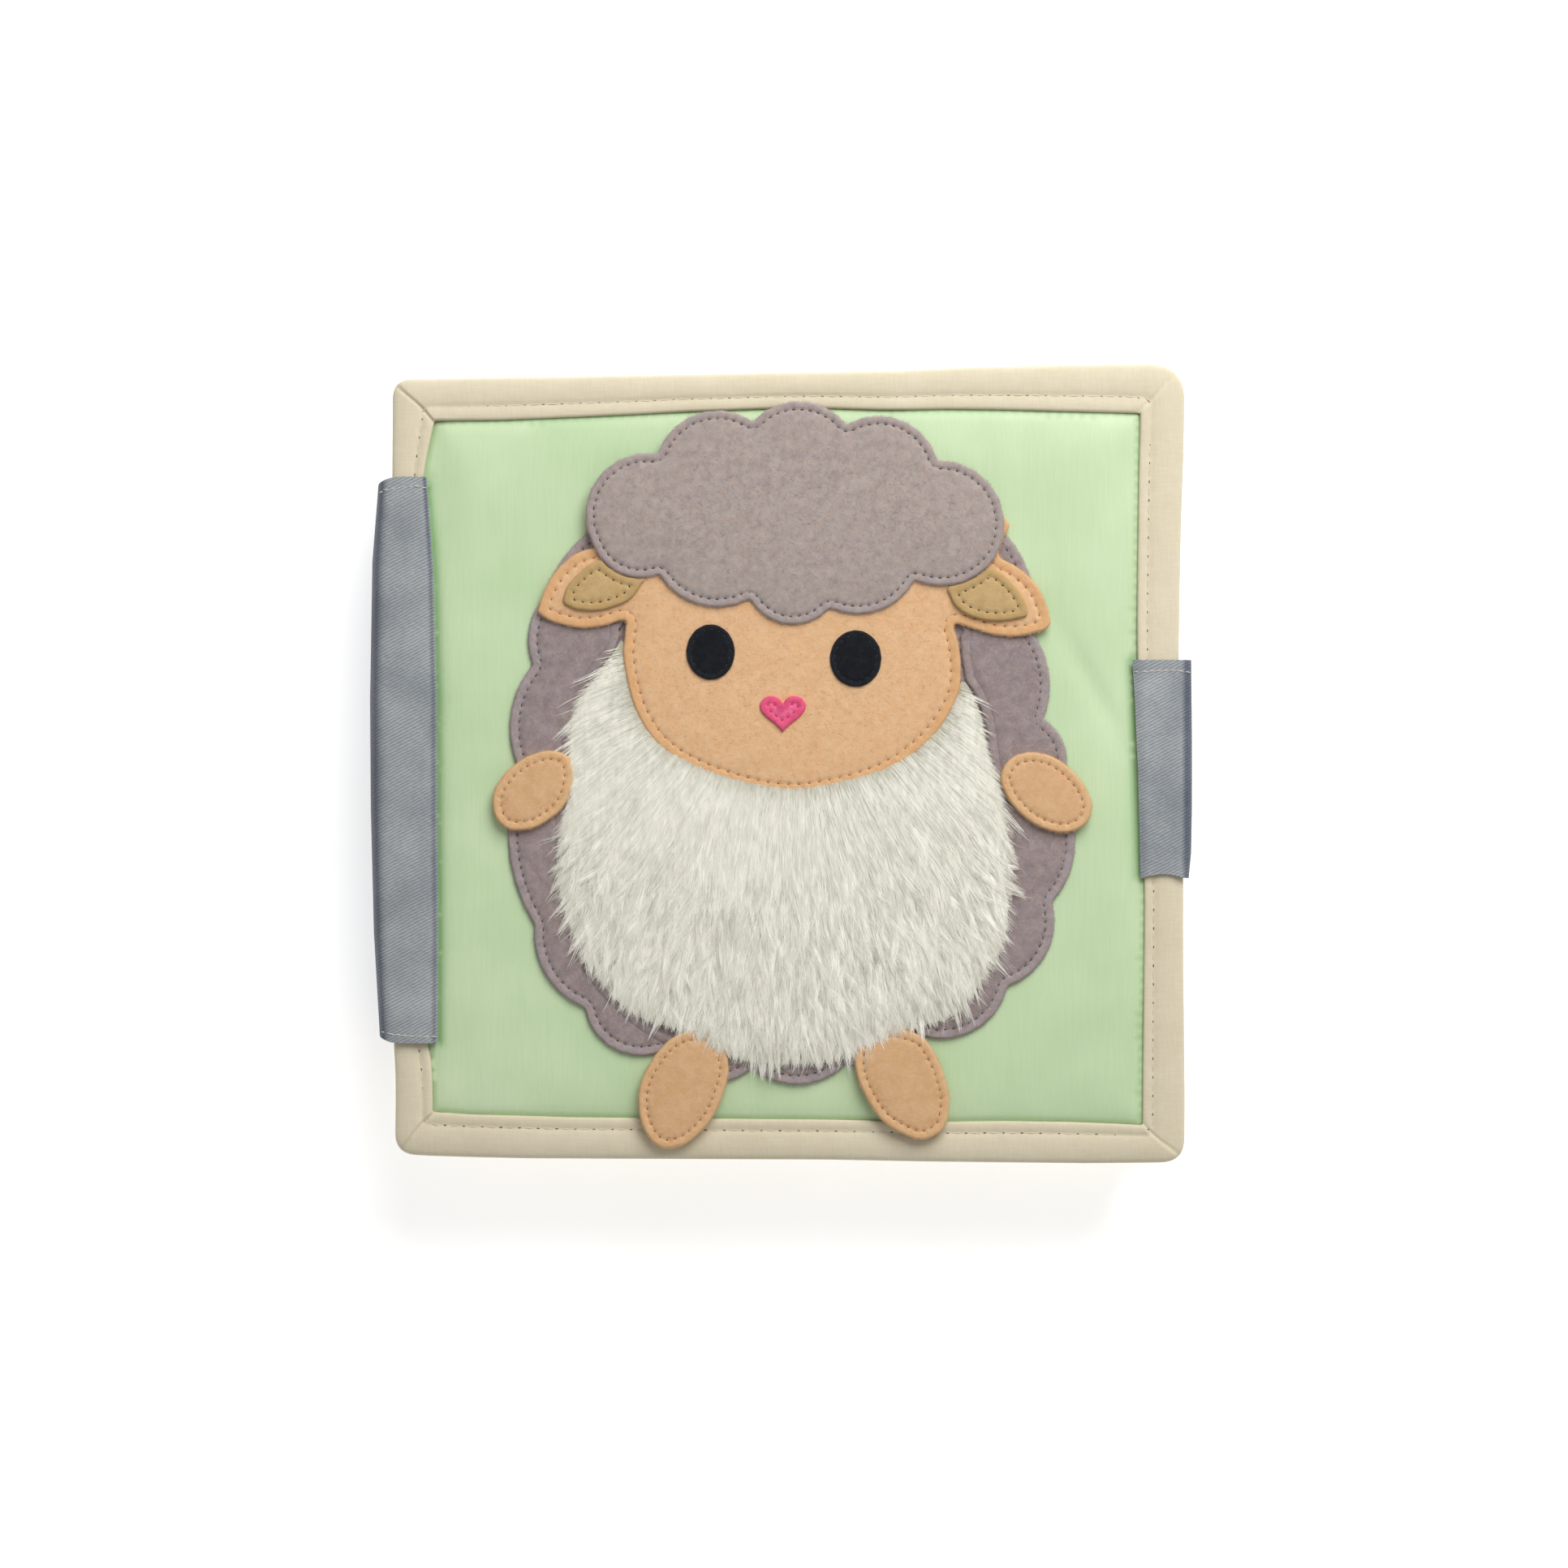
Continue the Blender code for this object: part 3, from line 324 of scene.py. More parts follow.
# the same closed line with points at an even spacing, its kinks softened a little
def resample(loop, spacing, soften=1, closed=True):
    path = np.vstack([loop, loop[:1]]) if closed else loop
    along = lengthsAlong(path)
    count = max(8, int(round(along[-1] / spacing)))
    places = np.linspace(0, along[-1], count, endpoint=not closed)
    points = np.stack([np.interp(places, along, path[:, k]) for k in range(path.shape[1])], 1)
    for _ in range(soften if closed else 0):
        points = (np.roll(points, 1, 0) + 2 * points + np.roll(points, -1, 0)) / 4
    return points


# a closed smooth curve through a few points
def smoothLoop(points, steps=10):
    loop = []
    count = len(points)
    for i in range(count):
        p0, p1, p2, p3 = (points[(i + k - 1) % count] for k in range(4))
        for step in range(steps):
            t = step / steps
            loop.append(0.5 * (
                2 * p1 + (p2 - p0) * t + (2 * p0 - 5 * p1 + 4 * p2 - p3) * t ** 2
                + (3 * p1 - p0 - 3 * p2 + p3) * t ** 3
            ))
    return np.array(loop)


def inwardNormals(loop):
    return leftOf(unit(np.roll(loop, -1, 0) - np.roll(loop, 1, 0)))


# distance of each point to a closed line
def distanceTo(points, loop):
    found = np.empty(len(points))
    start, step = loop, np.roll(loop, -1, 0) - loop
    square = np.maximum((step ** 2).sum(1), 1e-18)
    for i in range(0, len(points), 1500):
        gap = points[i:i + 1500, None] - start[None]
        t = np.clip((gap * step).sum(2) / square, 0, 1)
        found[i:i + 1500] = np.sqrt(((gap - t[..., None] * step) ** 2).sum(2).min(1))
    return found


def insideOf(points, loop):
    inside = np.zeros(len(points), bool)
    following = np.roll(loop, -1, 0)
    for a, b in zip(loop, following):
        if a[1] == b[1]:
            continue
        crosses = (a[1] > points[:, 1]) != (b[1] > points[:, 1])
        inside ^= crosses & (points[:, 0] < (b[0] - a[0]) * (points[:, 1] - a[1]) / (b[1] - a[1]) + a[0])
    return inside


# a line drawn in from a closed outline, and dropped where it would fold over itself
def insetLoop(loop, inset, slack=0.02):
    moved = loop + inwardNormals(loop) * inset
    keep = distanceTo(moved, loop) > inset * (1 - slack)
    return moved[keep]


# soft unevenness of a given size, from -1 to 1
def waves(xy, size, seed):
    draw = np.random.default_rng(seed)
    total = np.zeros(len(xy))
    for _ in range(6):
        angle, phase, scale = draw.uniform(0, 2 * math.pi), draw.uniform(0, 2 * math.pi), draw.uniform(0.7, 1.6)
        across = xy[:, 0] * math.cos(angle) + xy[:, 1] * math.sin(angle)
        total += np.sin(across * 2 * math.pi * scale / size + phase)
    return total / 6


# for each place, the index of the nearest centre and how far off it is
def nearestOf(xy, centres):
    tree = kdtree.KDTree(len(centres))
    for i, centre in enumerate(centres):
        tree.insert((centre[0], centre[1], 0), i)
    tree.balance()
    found = [tree.find((p[0], p[1], 0)) for p in xy]
    return np.array([f[1] for f in found]), np.array([f[2] for f in found])


# 1 at a centre, falling off over the radius
def nearness(xy, centres, radius):
    if len(centres) == 0 or len(xy) == 0:
        return np.zeros(len(xy))
    return np.exp(-(nearestOf(xy, centres)[1] / radius) ** 2)


def addObject(name, data):
    obj = bpy.data.objects.new(name, data)
    bpy.context.scene.collection.objects.link(obj)
    return obj


def meshPiece(name, points, faces, materials, faceMaterials=None, sharp=50.0, values=None):
    mesh = bpy.data.meshes.new(name)
    mesh.from_pydata([tuple(p) for p in points], [], faces)
    for material in materials if isinstance(materials, (list, tuple)) else [materials]:
        mesh.materials.append(material)
    if faceMaterials is not None:
        mesh.polygons.foreach_set("material_index", faceMaterials)
    for attribute, numbers in (values or {}).items():
        mesh.attributes.new(attribute, "FLOAT", "POINT").data.foreach_set("value", np.asarray(numbers, np.float32))
    mesh.shade_smooth()
    if sharp:
        mesh.set_sharp_from_angle(angle=math.radians(sharp))
    return addObject(name, mesh)


# A sheet with a flat back whose face follows a relief over its outline.
# relief gives the face's height for places and their distances from the edge.
def reliefSheet(
    name, outline, back, face, relief, material, rings, spacing, facing=1, rimWidth=None, extra=(), creaseShade=None,
):
    points = [outline, *extra]
    for ring in rings:
        inner = insetLoop(outline, ring)
        skip = 1 if ring < 3.2 * mm else 2
        points.append(inner[::skip])
    deepest = rings[-1] if rings else 0
    low, high = outline.min(0), outline.max(0)
    columns = np.arange(low[0], high[0], spacing)
    rows = np.arange(low[1], high[1], spacing * 0.87)
    grid = np.array([
        (x + (spacing / 2 if j % 2 else 0), y) for j, y in enumerate(rows) for x in columns
    ])
    grid += np.random.default_rng(3).uniform(-0.12, 0.12, grid.shape) * spacing
    grid = grid[insideOf(grid, outline)]
    grid = grid[distanceTo(grid, outline) > deepest + spacing * 0.6]
    if len(extra):
        grid = grid[nearness(grid, np.vstack(extra), spacing) < 0.9]
    points.append(grid)
    flat = np.vstack(points)
    count = len(outline)
    edges = [(i, (i + 1) % count) for i in range(count)]
    found = delaunay_2d_cdt([Vector(p) for p in flat], edges, [], 1, 1e-7)
    xy = np.array([tuple(v) for v in found[0]])
    faces = [list(f) for f in found[2]]
    distance = distanceTo(xy, outline)
    height = face + relief(xy, distance) * facing
    top = np.column_stack([xy, height])
    border = chainLoops(boundaryEdges(faces))[0]
    under = np.column_stack([xy[border], np.full(len(border), back)])
    start = len(top)
    walls = [
        [border[i], start + i, start + (i + 1) % len(border), border[(i + 1) % len(border)]]
        for i in range(len(border))
    ]
    backFace = [start + i for i in reversed(range(len(border)))]
    everyFace = faces + walls + [backFace]
    if facing < 0:
        everyFace = [f[::-1] for f in everyFace]
    values = None
    if rimWidth:
        rim = np.clip(1.15 - distance / rimWidth, 0, 1)
        values = {"rim": np.concatenate([np.minimum(1, rim * 3), np.ones(len(border))])}
    # painted shade for the sateen's drawn-in creases, as a value at each point
    if creaseShade:
        values = {"creaseShade": np.concatenate([creaseShade(xy), np.zeros(len(border))])}
    return meshPiece(name, np.vstack([top, under]), everyFace, material, values=values)


# Stitches as small tapered capsules along a line: each lies on the surface and dips at both ends.
# look gives their pitch, length and radius, and where it has one, a dark capsule between them that paints the shade
# in a needle hole.
def stitchRow(name, body, path, height, look, materials, closed=True, slotOf=lambda c: 1):
    draw = np.random.default_rng(look.get("seed", 5))
    centres = resample(path, look["pitch"], 0, closed)
    along = unit(np.roll(centres, -1, 0) - np.roll(centres, 1, 0) if closed else np.gradient(centres, axis=0))
    points, faces, slots = [], [], []
    sides, rows = 6, 5

    def capsule(centre, direction, length, radius, lift, slot):
        across = np.array([-direction[1], direction[0]])
        start = len(points)
        for r in range(rows):
            t = r / (rows - 1) * 2 - 1
            thick = radius * math.sqrt(max(0.06, 1 - t * t * 0.92))
            middle = centre + direction * t * length / 2
            for s in range(sides):
                angle = 2 * math.pi * s / sides
                side = across * math.cos(angle) * thick
                points.append((
                    middle[0] + side[0], middle[1] + side[1],
                    height(centre) + lift + math.sin(angle) * thick * 0.8 - radius * 0.9 * t * t,
                ))
        for r in range(rows - 1):
            for s in range(sides):
                a, b = start + r * sides + s, start + r * sides + (s + 1) % sides
                faces.append([a, b, b + sides, a + sides])
                slots.append(slot)
        faces.append([start + s for s in reversed(range(sides))])
        faces.append([start + (rows - 1) * sides + s for s in range(sides)])
        slots.extend([slot, slot])

    for i, centre in enumerate(centres):
        turn = draw.normal(0, look.get("wander", 0.06))
        direction = np.array([
            along[i][0] * math.cos(turn) - along[i][1] * math.sin(turn),
            along[i][0] * math.sin(turn) + along[i][1] * math.cos(turn),
        ])
        if look.get("turned"):
            direction = np.array([-direction[1], direction[0]])
        length = look["length"] * draw.uniform(1 - look.get("vary", 0.15), 1 + look.get("vary", 0.15))
        capsule(centre, direction, length, look["radius"], look.get("lift", 0), 0)
        if "hole" in look:
            middle = (centre + centres[(i + 1) % len(centres)]) / 2
            if closed or i + 1 < len(centres):
                capsule(middle, along[i], *look["hole"], slotOf(middle))
    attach(meshPiece(name, points, faces, materials, slots, sharp=None), body)


# One appliqued felt shape: a pressed rim, a sunk line of stitches and a soft middle.
# hollow is a line inside which the sheet is cut away, so the pile below shows.
def feltPiece(name, node, look, body, felt, thread, outline=None, levels=None, hollow=None):
    low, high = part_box(node)
    raw = outlineOf(node) if outline is None else outline
    edge = resample(raw, look.get("edgeStep", 0.4 * mm), look.get("soften", 2))
    edge = edge + inwardNormals(edge) * (0.07 * mm * waves(edge, 2.4 * mm, look["seed"] + 2))[:, None]
    inset = look["stitchInset"]
    seam = resample(insetLoop(edge, inset), 0.5 * mm, 2)
    holes = resample(seam, look["pitch"], 0)
    thick = high.z - low.z
    base, face = levels or (low.z, high.z)
    extra = []
    if hollow is not None:
        inner = resample(hollow, 0.7 * mm, 2)
        extra = [inner - inwardNormals(inner) * d * mm for d in (2.9, 2.5, 2.1, 1.2, 0.7, 0.3, 0.0)]
        extra.append(inner + inwardNormals(inner) * 0.15 * mm)

    def relief(xy, d):
        rise = -0.4 * thick * np.exp(-(d / (0.2 * mm)) ** 1.6)
        rise += look["rimRise"] * np.exp(-((d - inset * 0.5) / (inset * 0.42)) ** 4)
        rise -= 0.45 * look["groove"] * np.exp(-((d - inset) / (0.36 * mm)) ** 2)
        rise += look["puff"] * (1 - np.exp(-np.maximum(0, d - inset) / look.get("puffWidth", 3 * mm)))
        rise += 0.09 * mm * waves(xy, 14 * mm, look["seed"]) + 0.05 * mm * waves(xy, 5 * mm, look["seed"] + 1)
        near = np.abs(d - inset) < 1.2 * mm
        dips = np.zeros(len(xy))
        dips[near] = nearness(xy[near], holes, 0.55 * mm)
        rise -= dips * look["groove"] * 0.95
        if hollow is not None:
            cut = distanceTo(xy, inner)
            within = insideOf(xy, inner)
            rise -= np.where(within, 0.85 * thick, 0.5 * thick * np.exp(-(cut / (0.3 * mm)) ** 1.6))
            rise -= np.where(within, 0, look["groove"] * np.exp(-((cut - 2.5 * mm) / (0.36 * mm)) ** 2))
        return rise

    rings = [r * mm for r in (0.2, 0.45, 0.8, 1.2)]
    rings += [inset + step * mm for step in (-0.6, -0.3, 0.0, 0.3, 0.6, 1.1, 1.8)]
    rings = [r for r in sorted(rings) if r > 0]
    piece = reliefSheet(
        name, edge, base, face, relief, felt, rings, look.get("spacing", 1.25 * mm), rimWidth=inset, extra=extra
    )
    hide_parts(node)
    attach(piece, body)
    groove = look["groove"]
    stitchRow(
        name + "Stitches", body, seam, lambda c: face - groove * 0.72,
        {"pitch": look["pitch"], "length": look["stitch"], "radius": look["threadRadius"],
         "seed": look["seed"], "wander": 0.14, "vary": 0.3}, [thread],
    )
    return edge


# Loose fibres that stand out from a felt's cut edge and matt its face
def feltFuzz(name, edge, levels, look, body, felt):
    draw = np.random.default_rng(look["seed"])
    line = resample(edge, look["step"], 0)
    normal = -inwardNormals(line)
    low, high = edge.min(0), edge.max(0)
    spots = draw.uniform(low, high, (int(look["faceHairs"] * (high - low).prod() / mm ** 2), 2))
    spots = spots[insideOf(spots, edge)]
    roots = np.vstack([line - normal * draw.uniform(0, 0.25 * mm, (len(line), 1)), spots])
    outward = turnedBy(normal, draw.normal(0, 0.9, len(line)))
    turn = draw.uniform(0, 2 * math.pi, len(spots))
    way = np.vstack([outward, np.stack([np.cos(turn), np.sin(turn)], 1)])
    count = len(roots)
    length = np.concatenate([draw.uniform(0.25, 0.8, len(line)), draw.uniform(0.5, 1.3, len(spots))]) * mm
    height = np.concatenate([
        draw.uniform(levels[0], levels[1] - 0.2 * mm, len(line)), np.full(len(spots), levels[1])
    ])
    bend = draw.normal(0, 0.35, (count, 1)) * length[:, None] * leftOf(way)
    side = leftOf(way) * look["width"] / 2
    points = []
    for t, thin in ((0, 1.0), (0.5, 0.9), (1.0, 0.3)):
        spot = roots + way * (length * t)[:, None] + bend * 4 * t * (1 - t)
        z = height + 0.1 * mm * np.sin(math.pi * t) + 0.05 * mm
        points += [np.column_stack([spot - side * thin, z]), np.column_stack([spot + side * thin, z])]
    points = np.stack(points, 1).reshape(-1, 3)
    base = np.arange(count) * 6
    faces = np.concatenate([
        np.stack([base, base + 2, base + 3, base + 1], 1), np.stack([base + 2, base + 4, base + 5, base + 3], 1)
    ])
    piece = ribbonMesh(name, points, faces, felt, {"rim": np.full(len(points), look["rim"])})
    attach(piece, body)


# a mesh of very many four-sided ribbons, made in one go
def ribbonMesh(name, points, faces, material, values, normals=None):
    mesh = bpy.data.meshes.new(name)
    mesh.vertices.add(len(points))
    mesh.vertices.foreach_set("co", points.astype(np.float32).ravel())
    mesh.loops.add(faces.size)
    mesh.loops.foreach_set("vertex_index", faces.astype(np.int32).ravel())
    mesh.polygons.add(len(faces))
    mesh.polygons.foreach_set("loop_start", np.arange(0, faces.size, 4, dtype=np.int32))
    mesh.update(calc_edges=True)
    mesh.materials.append(material)
    for attribute, numbers in values.items():
        mesh.attributes.new(attribute, "FLOAT", "POINT").data.foreach_set("value", numbers.astype(np.float32))
    mesh.shade_smooth()
    if normals is not None:
        mesh.normals_split_custom_set_from_vertices(normals)
    return addObject(name, mesh)


# Camera straight above the cover, at the photograph's scale
camera = {"lens": 85.0, "sensor": 36.0, "centrePixel": 966}
distance = photo["frame"] * pixelWide * camera["lens"] / camera["sensor"]
aim = fromPhoto([(camera["centrePixel"], camera["centrePixel"])])[0]
cameraData = bpy.data.cameras.new("camera")
cameraData.lens = camera["lens"]
cameraData.sensor_width = camera["sensor"]
cameraObject = addObject("camera", cameraData)
cameraObject.location = (aim[0], aim[1], coverHigh.z + distance)
bpy.context.scene.camera = cameraObject
print("camera placed")

feltShades = {  # each felt's dark, middle and light shade, and its rim's dark and light one
    "grey": ("greyWoolFelt", "#887a7c", "#9a8c8c", "#ab9e9e", "#998b8d", "#b1a5a5"),
    "paleGrey": ("paleGreyWoolFelt", "#9d908c", "#ada09b", "#baaea8", "#9f9190", "#b6a9a5"),
    "peach": ("peachCraftFelt", "#dfb386", "#e5bb90", "#ecc59d", "#daa978", "#e6ba8a"),
    "peachLimb": ("peachLimbFelt", "#d3a776", "#dbb186", "#e2bb92", "#dbaf80", "#e5bd90"),
    "tan": ("tanCraftFelt", "#bb9c69", "#c5a776", "#ceb284", "#b89965", "#c6a877"),
    "black": ("blackCraftFelt", "#0e1016", "#14161c", "#20232b", "#12141a", "#23262e"),
    "white": ("whiteCraftFelt", "#e2e0d8", "#eceae3", "#f4f2ed", "#dedbd2", "#efede6"),
    "red": ("redCraftFelt", "#a8282c", "#b83236", "#c64146", "#9e2529", "#bd393d"),
    "navy": ("navyCraftFelt", "#1f2d4d", "#283a5f", "#35496f", "#1d2a48", "#304367"),
    "brown": ("brownCraftFelt", "#5a3b29", "#6a4732", "#7a563f", "#543626", "#72503a"),
    "pink": ("pinkCraftFelt", "#e85b89", "#f26d98", "#f783a8", "#dc4674", "#f06a92"),
}
felts = {}
for key, (name, *codes) in feltShades.items():
    look = dict(zip(("dark", "mid", "light", "rimDark", "rimLight"), codes))
    look["grain"] = (2.5, 1, 1) if "peach" in key else (1, 1, 1)  # the peach felt's fibres lie along the roll
    felts[key] = makeFelt(name, look)
threads = {key: makeThread(*look) for key, look in {
    "grey": ("greySewingThread", "#4c474c"),
    "orange": ("orangeBrownSewingThread", "#a9683c"),
    "brown": ("darkBrownSewingThread", "#3a2b24"),
    "black": ("blackSewingThread", "#1c1e24"),
    "pink": ("pinkSewingThread", "#c73468"),
    "cream": ("creamSewingThread", "#e2d8bf"),
    # painted shade in the needle holes: a darker one, and a paler one for the row that faces the light
    "needleHole": ("needleHoleShade", "#6e6553", 0.95),
    "litHoleShade": ("paleNeedleHoleShade", "#a99c80", 0.95),
    "pale": ("paleSewingThread", "#d8d3c6"),
    "white": ("whiteSewingThread", "#efece4"),
    "navy": ("navyEmbroideryThread", "#24345a", 0.4),
    "red": ("redSewingThread", "#9c2529"),
}.items()}
# the crease colour is painted shade for the sateen where it is drawn in
sateen = makeSateen("greenCottonSateen", {
    "dark": "#bfd8aa", "mid": "#c8deb2", "light": "#d1e4bb", "roughness": 0.5, "crease": "#86b583",
})
tape = makeCotton("creamBiasTape", {"dark": "#d7cbaf", "mid": "#ddd2b7", "light": "#e3d9c0", "turn": 0.785})
# the side colour is painted shade for steep, turned-down twill
twill = makeTwill("greyCottonTwill", {
    "dark": "#82888e", "mid": "#9fa3a6", "light": "#bcbfbf", "pitch": 0.78 * mm, "rise": 28, "contrast": 0.26,
    "side": "#a3a7b6",
})
# the root colour is painted shade at the hairs' roots
pile = makePile("ivoryLongPilePlush", {
    "dark": "#d6d4c7", "mid": "#e8e6db", "light": "#f9f7f0", "root": "#cfcdc1", "roughness": 0.5, "glow": 0.09,
})
print("cover materials made")

# The front panel: sateen over wadding, drawn in at the binding and dented where the photo shows it
panelLook = {
    "window": {  # the binding's inner edge in pixels, each side anticlockwise
        "bottom": [
            (533, 1370.5), (578, 1373.5), (650, 1375.4), (700, 1377), (850, 1378.5), (1020, 1380), (1167, 1382.7),
            (1234, 1381.7), (1318, 1382.7), (1382, 1385.3), (1408, 1386.7),
        ],
        "right": [
            (1408, 1386.7), (1408.5, 1300), (1410, 1170), (1410.5, 1100), (1406, 950), (1402, 820), (1401.5, 760),
            (1402.7, 640), (1403.4, 585), (1404.6, 537), (1405, 508.6),
        ],
        "top": [
            (1405, 508.6), (1308, 506.2), (1235, 504.2), (1170, 503.5), (1090, 504.9), (1016, 502.7), (945, 503.2),
            (843, 507), (764, 511), (700, 513.8), (620, 517), (535, 518),
        ],
        "left": [
            (535, 518), (527, 555), (521, 587), (516, 640), (515, 940), (517, 1230), (524, 1270), (528, 1293),
            (531, 1306.5), (532.5, 1330), (533, 1370.5),
        ],
    },
    "outer": {  # the cover's own edge in pixels
        "bottom": [
            (486, 1422), (520, 1424.5), (578, 1426.4), (650, 1428), (1018, 1429.5), (1150, 1432), (1339, 1434),
            (1460, 1433),
        ],
        "right": [
            (1460, 1433), (1460.5, 1350), (1458.7, 1170), (1458.7, 1085), (1455, 960), (1453, 810), (1454, 740),
            (1456, 640), (1459, 561), (1460, 500), (1460, 448),
        ],
        "top": [
            (1460, 448), (1380, 448), (1308, 449), (1187, 452.1), (1100, 456.6), (980, 457.8), (904, 459.5),
            (700, 463.4), (483.5, 466.5),
        ],
        "left": [
            (483.5, 466.5), (483, 506), (482.7, 586), (483, 800), (484, 1200), (484.4, 1286), (486.6, 1319),
            (487, 1357), (486, 1422),
        ],
    },
    "corners": (5.6 * mm, 6.5 * mm, 9.5 * mm, 5.2 * mm),  # from the bottom left, anticlockwise
    "tuck": 2.2 * mm, "crown": 1.25 * mm, "shoulder": 17 * mm,
    "pressed": [  # the lines where the spine cloth and the strap press it down, in pixels
        [(527, 596), (535, 700), (539.5, 860), (540, 1000), (541.5, 1150), (541, 1283)],
        [(1394, 816), (1396.5, 860), (1400.5, 950), (1402.5, 1030), (1404, 1080)],
    ],
    "dents": [  # pixel, half sizes in pixels, turn in degrees, depth
        ((552, 640), (16, 90), 4, 0.45 * mm), ((1345, 845), (13, 80), 28, 0.8 * mm),
        ((1370, 900), (22, 130), -4, 0.4 * mm), ((560, 1290), (26, 70), 8, 0.35 * mm),
        ((620, 560), (60, 26), -20, 0.25 * mm), ((1330, 1300), (60, 30), 30, 0.3 * mm),
        ((1378, 600), (16, 80), -8, 0.3 * mm), ((536, 930), (9, 420), 0, 0.7 * mm),
        ((1398, 950), (9, 150), 0, 0.7 * mm),
    ],
}
sideNames = ("bottom", "right", "top", "left")


# A closed loop round a cover: as many points on each side and at each corner whatever the inset
def coverLoop(sides, radii, sideSteps, cornerSteps):
    trimmed = []
    for i, side in enumerate(sides):
        path = np.asarray(side, float)
        lengths = lengthsAlong(path)
        dense = np.linspace(0, lengths[-1], 400)
        path = np.stack([np.interp(dense, lengths, path[:, k]) for k in (0, 1)], 1)
        for _ in range(30):
            path[1:-1] = (path[:-2] + 2 * path[1:-1] + path[2:]) / 4
        places = np.linspace(radii[i], lengths[-1] - radii[(i + 1) % 4], sideSteps + 1)
        trimmed.append(np.stack([np.interp(places, dense, path[:, k]) for k in (0, 1)], 1))
    loop = []
    for i, path in enumerate(trimmed):
        corner, start, end = np.asarray(sides[i][0], float), trimmed[i - 1][-1], path[0]
        for k in range(cornerSteps):
            t = k / cornerSteps
            loop.append((1 - t) ** 2 * start + 2 * t * (1 - t) * corner + t * t * end)
        loop.extend(path[:-1])
    return np.array(loop)


windowSides = [fromPhoto(panelLook["window"][side]) for side in sideNames]
windowLoop = coverLoop(windowSides, (0.5 * mm,) * 4, 150, 4)


def panelRelief(xy, d):
    reach = np.clip((d - panelLook["tuck"]) / panelLook["shoulder"], 0, 1)
    rise = panelLook["crown"] * (1 - (1 - reach) ** 2.4)
    rise -= 0.8 * mm * np.exp(-((d - panelLook["tuck"]) / (1.3 * mm)) ** 2)
    for pixel, (wideHalf, tallHalf), turn, depth in panelLook["dents"]:
        middle = fromPhoto([pixel])[0]
        angle = math.radians(turn)
        gap = xy - middle
        u = (gap[:, 0] * math.cos(angle) + gap[:, 1] * math.sin(angle)) / (wideHalf * pixelWide)
        v = (-gap[:, 0] * math.sin(angle) + gap[:, 1] * math.cos(angle)) / (tallHalf * pixelTall)
        rise -= depth * np.exp(-(u * u + v * v))
    return rise + 0.14 * mm * waves(xy, 60 * mm, 8) + 0.05 * mm * waves(xy, 22 * mm, 9)


# painted shade: how dark the sateen is painted where it is drawn in beside the spine cloth, the strap and the
# binding
def panelCreaseShade(xy):
    amount = np.exp(-(distanceTo(xy, windowLoop) / (0.55 * mm)) ** 2) * 0.55
    for line in panelLook["pressed"]:
        places = resample(fromPhoto(line), 1 * mm, 0, False)
        gap = np.sqrt(((xy[:, None] - places[None]) ** 2).sum(2).min(1))
        amount = np.maximum(amount, 0.85 * np.exp(-(gap / (1.2 * mm)) ** 1.5))
    return amount


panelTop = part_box("front_cover_panel")[0].z + 0.5 * mm  # the panel's face where it meets the binding
panelEdge = resample(windowLoop - inwardNormals(windowLoop) * panelLook["tuck"] * 1.4, 1.5 * mm, 3)
pressedPoints = []
for line in panelLook["pressed"]:
    places = resample(fromPhoto(line), 2 * mm, 0, False)
    pressedPoints += [places + (side * mm, 0) for side in (-2.2, -1.1, -0.4, 0.4, 1.1, 2.2)]
pressedPoints = [part[insideOf(part, insetLoop(panelEdge, 5.6 * mm))] for part in pressedPoints]
panel = reliefSheet(
    "frontPanelCloth", panelEdge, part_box("front_cover_wadding")[0].z, panelTop, panelRelief, sateen,
    [0.8 * mm, 1.6 * mm, 2.4 * mm, 3.4 * mm, 4.8 * mm], 2.0 * mm, extra=pressedPoints, creaseShade=panelCreaseShade,
)
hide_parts("front_cover_panel", "front_cover_wadding")
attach(panel, "front_cover")
print("front panel made")


# Bias tape folded round a padded edge and topstitched through both faces, with mitred corners
bindingLook = {
    "cloth": 0.55 * mm, "mitre": 0.3 * mm, "crease": 0.42 * mm,
    # how far in from the stitches towards the inner edge, and the depth below the face
    "inward": [(1.0, 1.15 * mm), (0.985, 0.5 * mm), (0.93, 0.14 * mm), (0.8, 0.0), (0.55, -0.06 * mm),
               (0.3, 0.04 * mm), (0.12, 0.17 * mm), (0.0, 0.26 * mm)],
    # how far out from the stitches towards the outer edge, and the depth again
    "outward": [(0.05, 0.17 * mm), (0.11, 0.0), (0.2, -0.11 * mm), (0.34, -0.2 * mm), (0.48, -0.22 * mm),
                (0.6, -0.15 * mm), (0.72, 0.0), (0.82, 0.18 * mm), (0.9, 0.42 * mm), (0.95, 0.72 * mm),
                (0.985, 1.15 * mm), (1.0, 1.7 * mm)],
    # the hole entry gives the length, radius and lift of the dark capsule that paints the shade in each needle hole
    "stitch": {"pitch": 4.95 * mm, "length": 3.4 * mm, "radius": 0.15 * mm, "wander": 0.03, "seed": 4,
               "lift": -0.02 * mm, "hole": (1.2 * mm, 0.2 * mm, 0.02 * mm)},
}


